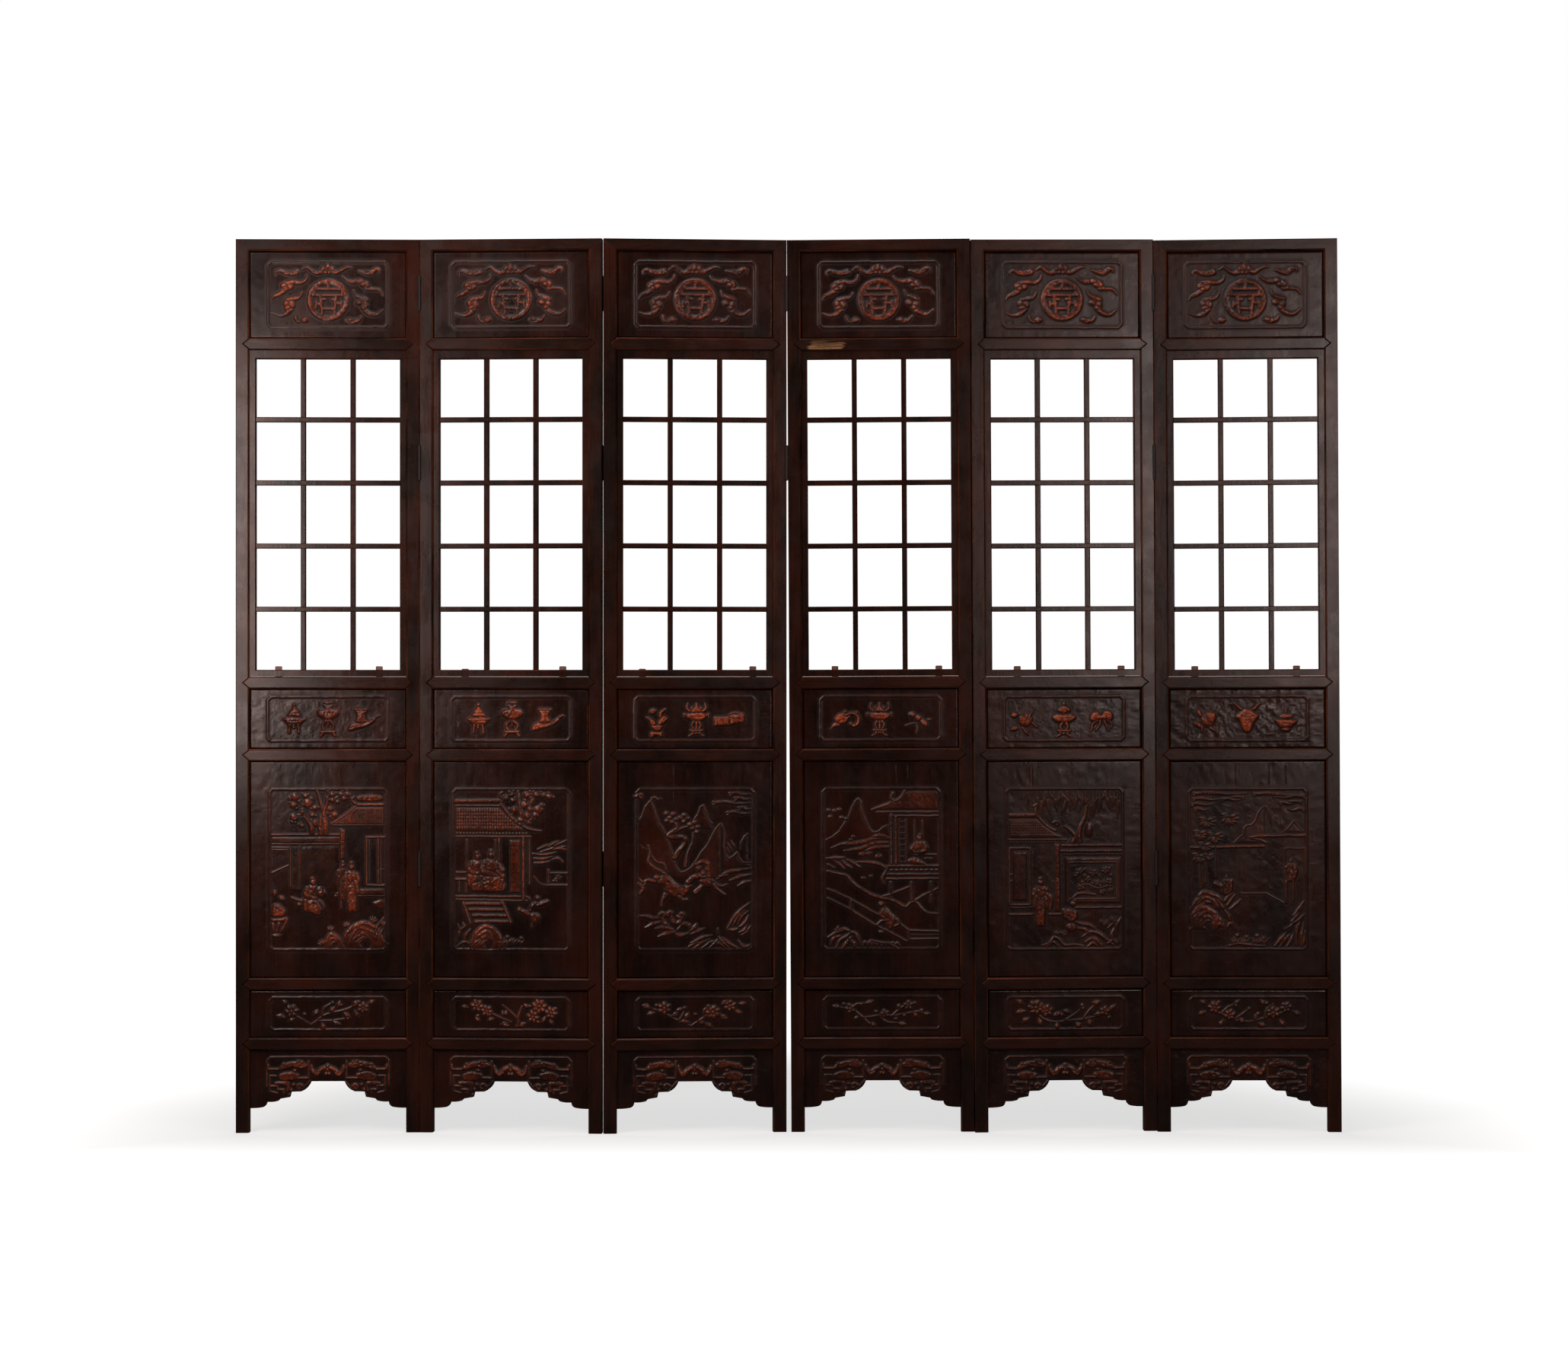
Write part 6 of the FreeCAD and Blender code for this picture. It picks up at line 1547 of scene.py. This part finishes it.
def old_lacquer(name, hues, upright, carved=False, bare=None):
    """Old brown-black lacquer over hardwood: dark blotches, a grey bloom, rubbed red edges. On carving,
    proud edges also get a painted highlight and pits painted shade.

    bare, where given, is the box (x from, x to, z from, z to) of a patch worn to pale wood.
    """
    def stretched(length, width):
        return (width, width, length) if upright else (length, width, width)

    material, tree, place = fresh_material(name)
    fibres = node(tree, "Mapping", {"Scale": stretched(1 / grain_length, 1 / grain_width)},
                  Vector=place)
    grain = node(tree, "TexNoise", {"Scale": 1.0, "Detail": 5.0, "Roughness": 0.6}, Vector=fibres)
    board = node(tree, "Mapping", {"Scale": stretched(along_share, across_share)}, Vector=place)
    blotch = node(tree, "TexNoise", {"Scale": 1 / blotch_size, "Detail": 5.0, "Roughness": 0.6},
                  Vector=board)
    haze = node(tree, "TexNoise", {"Scale": 1 / bloom_size, "Detail": 6.0, "Roughness": 0.65},
                Vector=place)
    share = node(tree, "MapRange", {"From Min": 0.38, "From Max": 0.66}, Value=blotch)
    colour = node(tree, "MixRGB", {"Color1": linear(hues["dark"]), "Color2": linear(hues["red"])},
                  Fac=share)
    share = node(tree, "MapRange", {"From Min": 0.44, "From Max": 0.8, "To Max": 0.2}, Value=haze)
    colour = node(tree, "MixRGB", {"Color2": linear(hues["bloom"])}, Fac=share, Color1=colour)
    streak = node(tree, "MapRange", {"From Min": 0.35, "From Max": 0.7, "To Min": 0.72, "To Max": 1.2},
                  Value=grain)
    colour = node(tree, "VectorMath", {"operation": "SCALE"}, Vector=colour, Scale=streak)
    rough = node(tree, "MapRange", {"From Min": 0.3, "From Max": 0.7, "To Min": 0.21, "To Max": 0.34},
                 Value=haze)
    if carved:
        wear_and_painted_light = node(tree, "Attribute", {"attribute_name": "wear_and_painted_light"}).outputs["Color"]
        lift, edge, pit_shade = node(tree, "SeparateColor", Color=wear_and_painted_light).outputs[:3]
        handled = node(tree, "TexNoise", {"Scale": 1 / handled_size, "Detail": 3.0}, Vector=place)
        handled = node(tree, "MapRange",
                       {"From Min": 0.36, "From Max": 0.64, "To Min": 0.3, "To Max": 1.2},
                       Value=handled)
        speck = node(tree, "TexNoise", {"Scale": 1 / speck_size, "Detail": 3.0}, Vector=place)
        patch = node(tree, "MapRange",
                     {"From Min": 0.3, "From Max": 0.62, "To Min": 0.25, "To Max": 1.1}, Value=speck)
        patch = node(tree, "Math", {"operation": "MULTIPLY"}, s0=patch, s1=handled)
        # Rubbed red on high forms is wear; the bright colour on proud edges is partly rubbing and partly
        # a painted highlight
        for hue, part, strength in (("rubbed", lift, 1.0), ("worn_edge_highlight", edge, 0.5)):
            share = node(tree, "Math", {"operation": "MULTIPLY", "use_clamp": True}, s0=part, s1=patch)
            share = node(tree, "Math", {"operation": "MULTIPLY", 1: strength}, s0=share)
            colour = node(tree, "MixRGB", {"Color2": linear(hues[hue])}, Fac=share, Color1=colour)
        # Painted shade: the pits are darkened towards the pits colour
        share = node(tree, "Math", {"operation": "MULTIPLY", 1: 0.8, "use_clamp": True}, s0=pit_shade)
        colour = node(tree, "MixRGB", {"Color2": linear(hues["pits"])}, Fac=share, Color1=colour)
        for part, more in ((pit_shade, 0.6), (edge, 0.5), (lift, -0.06)):
            rough = node(tree, "Math", {"operation": "MULTIPLY_ADD", 1: more, "use_clamp": True},
                         s0=part, s2=rough)
    else:
        normal = node(tree, "NewGeometry").outputs["Normal"]
        backward = node(tree, "SeparateXYZ", Vector=normal).outputs["Y"]
        level = node(tree, "Math", {"operation": "ABSOLUTE"}, s0=backward)
        off_side = node(tree, "MapRange", {"From Min": 0.3, "From Max": 0.6}, Value=level)
        off_face = node(tree, "MapRange", {"From Min": 0.97, "From Max": 0.85}, Value=level)
        bevel = node(tree, "Math", {"operation": "MULTIPLY"}, s0=off_side, s1=off_face)
        rub = node(tree, "Mapping", {"Scale": stretched(1 / rub_length, 1 / rub_width)}, Vector=place)
        rub = node(tree, "TexNoise", {"Scale": 1.0, "Detail": 6.0, "Roughness": 0.7}, Vector=rub)
        patch = node(tree, "MapRange", {"From Min": 0.42, "From Max": 0.66, "To Max": 0.95}, Value=rub)
        share = node(tree, "Math", {"operation": "MULTIPLY"}, s0=bevel, s1=patch)
        colour = node(tree, "MixRGB", {"Color2": linear(hues["rubbed"])}, Fac=share, Color1=colour)
        side = node(tree, "MapRange", {"From Min": 0.35, "From Max": 0.2, "To Max": 0.6}, Value=level)
        rough = node(tree, "Math", {"operation": "ADD", "use_clamp": True}, s0=side, s1=rough)
    if bare:
        spot = node(tree, "SeparateXYZ", Vector=place).outputs
        fray = node(tree, "Math", {"operation": "MULTIPLY_ADD", 1: 0.05, 2: -0.025}, s0=grain)
        inside = node(tree, "MapRange", {"From Min": -0.3, "From Max": -0.6}, Value=backward)
        for axis, low, high in (("X", *bare[:2]), ("Z", *bare[2:])):
            value = node(tree, "Math", {"operation": "ADD"}, s0=spot[axis], s1=fray)
            for start, end in ((low, low + bare_fade), (high, high - bare_fade)):
                step = node(tree, "MapRange", {"From Min": start, "From Max": end}, Value=value)
                inside = node(tree, "Math", {"operation": "MULTIPLY"}, s0=inside, s1=step)
        streaks = node(tree, "MapRange",
                       {"From Min": 0.38, "From Max": 0.62, "To Min": 0.1, "To Max": 0.7}, Value=grain)
        share = node(tree, "Math", {"operation": "MULTIPLY"}, s0=inside, s1=streaks)
        colour = node(tree, "MixRGB", {"Color2": linear(hues["bare"])}, Fac=share, Color1=colour)
    waves = node(tree, "TexNoise", {"Scale": 1 / wave_size, "Detail": 2.0}, Vector=board)
    bump = node(tree, "Bump", {"Strength": 0.25, "Distance": 1.2 * MM}, Height=waves)
    bump = node(tree, "Bump", {"Strength": 0.3, "Distance": 0.25 * MM}, Height=grain, Normal=bump)
    shader = node(tree, "BsdfPrincipled", {"Specular IOR Level": 0.19}, Base_Color=colour,
                  Roughness=rough, Normal=bump)
    node(tree, "OutputMaterial", Surface=shader)
    return material


def bare_peg_wood():
    """Pegs of plain hardwood, handled bare: brown and dull, with a fine upright grain."""
    material, tree, place = fresh_material("handled_bare_hardwood")
    across, along = 1 / peg_fibre_width, 1 / peg_fibre_length
    fibres = node(tree, "Mapping", {"Scale": (across, across, along)}, Vector=place)
    grain = node(tree, "TexNoise", {"Scale": 1.0, "Detail": 4.0}, Vector=fibres)
    colour = node(tree, "MixRGB", {"Color1": linear("#24120b"), "Color2": linear("#5c3826")}, Fac=grain)
    bump = node(tree, "Bump", {"Strength": 0.4, "Distance": 0.2 * MM}, Height=grain)
    shader = node(tree, "BsdfPrincipled", {"Roughness": 0.6}, Base_Color=colour, Normal=bump)
    node(tree, "OutputMaterial", Surface=shader)
    return material


def forged_iron():
    """Old hinge iron: dark scale with brown rust in its pits."""
    material, tree, place = fresh_material("scaled_forged_iron")
    scale = node(tree, "TexNoise", {"Scale": 1 / scale_size, "Detail": 6.0}, Vector=place)
    share = node(tree, "MapRange", {"From Min": 0.45, "From Max": 0.7}, Value=scale)
    colour = node(tree, "MixRGB", {"Color1": linear("#120f0f"), "Color2": linear("#24130d")}, Fac=share)
    rough = node(tree, "MapRange", {"To Min": 0.45, "To Max": 0.8}, Value=scale)
    bump = node(tree, "Bump", {"Strength": 0.5, "Distance": 0.3 * MM}, Height=scale)
    shader = node(tree, "BsdfPrincipled", {"Metallic": 0.3, "Specular IOR Level": 0.3},
                  Base_Color=colour, Roughness=rough, Normal=bump)
    node(tree, "OutputMaterial", Surface=shader)
    return material


def dress(node_name, finish):
    """Gives a kept construction node its finish."""
    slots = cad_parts[node_name].data.materials
    if not slots:
        slots.append(finish)
    for i in range(len(slots)):
        slots[i] = finish


# Studio

def make_camera():
    data = bpy.data.cameras.new("camera")
    data.sensor_width = sensor
    data.lens = sensor * camera_distance / photo_width
    camera = bpy.data.objects.new("camera", data)
    camera.location = (camera_offset, face_of_screen - camera_distance, eye_level)
    camera.rotation_euler = (math.pi / 2, 0, 0)
    bpy.context.scene.collection.objects.link(camera)
    bpy.context.scene.camera = camera


def softbox(name, place, aim, size, power, tint="#ffffff"):
    """A rectangular lamp that the camera doesn't see, turned towards its aim."""
    data = bpy.data.lights.new(name, "AREA")
    data.color = linear(tint)[:3]
    data.shape = "RECTANGLE"
    data.size, data.size_y = size
    data.energy = power
    lamp = bpy.data.objects.new(name, data)
    lamp.location = place
    lamp.visible_camera = False
    lamp.rotation_euler = (Vector(aim) - Vector(place)).to_track_quat("-Z", "Y").to_euler()
    bpy.context.scene.collection.objects.link(lamp)


def make_world(ambient, tint):
    """White where the camera sees it, and a faint light on everything else."""
    world = bpy.data.worlds.new("studio")
    bpy.context.scene.world = world
    world.use_nodes = True
    tree = world.node_tree
    tree.nodes.clear()
    seen = node(tree, "LightPath").outputs["Is Camera Ray"]
    room = node(tree, "Background", {"Color": linear(tint), "Strength": ambient})
    white = node(tree, "Background", {"Color": (1, 1, 1, 1), "Strength": 1.0})
    both = node(tree, "MixShader", Fac=seen, s1=room, s2=white)
    node(tree, "OutputWorld", Surface=both)


def make_floor():
    """A floor that shows white to the camera, with a painted shadow under and behind the screen, where
    its glow is dimmer.
    """
    mesh = bpy.data.meshes.new("floor")
    corners = [(x * floor_reach, y * floor_reach, 0) for x, y in ((-1, -1), (1, -1), (1, 1), (-1, 1))]
    mesh.from_pydata(corners, [], [(0, 1, 2, 3)])
    floor = bpy.data.objects.new("floor", mesh)
    bpy.context.scene.collection.objects.link(floor)
    material, tree, place = fresh_material("white_floor_with_painted_shadow")
    away = node(tree, "VectorMath", {"operation": "LENGTH"}, s0=place).outputs["Value"]
    depth = node(tree, "SeparateXYZ", Vector=place).outputs["Y"]
    # Painted shadow: the camera's glow is dimmed under and behind the screen and grows to full white away
    # from it and in front
    far, ahead = (
        node(tree, "MapRange", {"interpolation_type": "SMOOTHSTEP", "From Min": start, "From Max": end,
                                "To Min": glow_in_painted_shadow, "To Max": 1.0}, Value=value)
        for value, (start, end) in ((away, painted_shadow_ends_away), (depth, painted_shadow_ends_ahead)))
    glow = node(tree, "Math", {"operation": "MAXIMUM"}, s0=far, s1=ahead)
    seen = node(tree, "LightPath").outputs["Is Camera Ray"]
    glow = node(tree, "Math", {"operation": "MULTIPLY"}, s0=seen, s1=glow)
    paint = node(tree, "BsdfDiffuse", {"Color": (0.13, 0.128, 0.126, 1)})
    light = node(tree, "Emission", {"Color": (1, 1, 1, 1)}, Strength=glow)
    both = node(tree, "AddShader", s0=paint, s1=light)
    node(tree, "OutputMaterial", Surface=both)
    mesh.materials.append(material)


def make_screen():
    """Carves the boards of every leaf, and gives the other parts their finishes."""
    upright_wood = old_lacquer("old_lacquer_upright_grain", frame_hues, True)
    level_wood = old_lacquer("old_lacquer_level_grain", frame_hues, False)
    patched_wood = old_lacquer("old_lacquer_worn_to_bare_wood", frame_hues, False, bare=bare_patch)
    carved_wood = old_lacquer("old_lacquer_rubbed_carving", carved_hues, True, carved=True)
    finishes = {"stiles": upright_wood, "rails": level_wood, "lattice": upright_wood,
                "lattice_pegs": bare_peg_wood(), "hinge_parts": forged_iron()}
    for number, leaf in enumerate(leaves):
        space = leaf_space(leaf)
        draw = random.Random(first_seed + number)
        seed = number * len(rubs)
        for order, kind in enumerate(carvers):
            make_board(leaf, kind, space, draw, rubs[kind][number], carved_wood, seed + order)
        make_apron(leaf, space, rubs["apron"][number], carved_wood, seed + len(carvers))
        for part, finish in finishes.items():
            dress(leaf + "_" + part, finish)
    dress("leaf_4_rails", patched_wood)


make_screen()
make_camera()
make_floor()
make_world(0.02, "#f6f4f4")
softbox("left_softbox", (-2.6, -3.0, 3.4), (-0.8, 0, 1.5), (1.0, 1.5), 115, "#fff1ea")
softbox("right_softbox", (3.1, -2.8, 3.2), (0.9, 0, 1.5), (1.0, 1.5), 62, "#fff1ea")
softbox("left_sheen", (-1.42, -1.25, 1.34), (-1.25, 0, 1.34), (0.25, 1.1), 17, "#ffe6de")
softbox("right_sheen", (1.5, -3.4, 1.65), (1.4, 0, 1.65), (0.4, 1.5), 33, "#ffe9e2")
softbox("back_softbox", (-0.6, 3.4, 4.1), (0, 0, 1.0), (2.4, 1.0), 110)
softbox("top_softbox", (-0.3, -1.5, 4.3), (0, 0.5, 0.6), (2.6, 1.0), 70)
bpy.context.scene.view_settings.view_transform = "Standard"
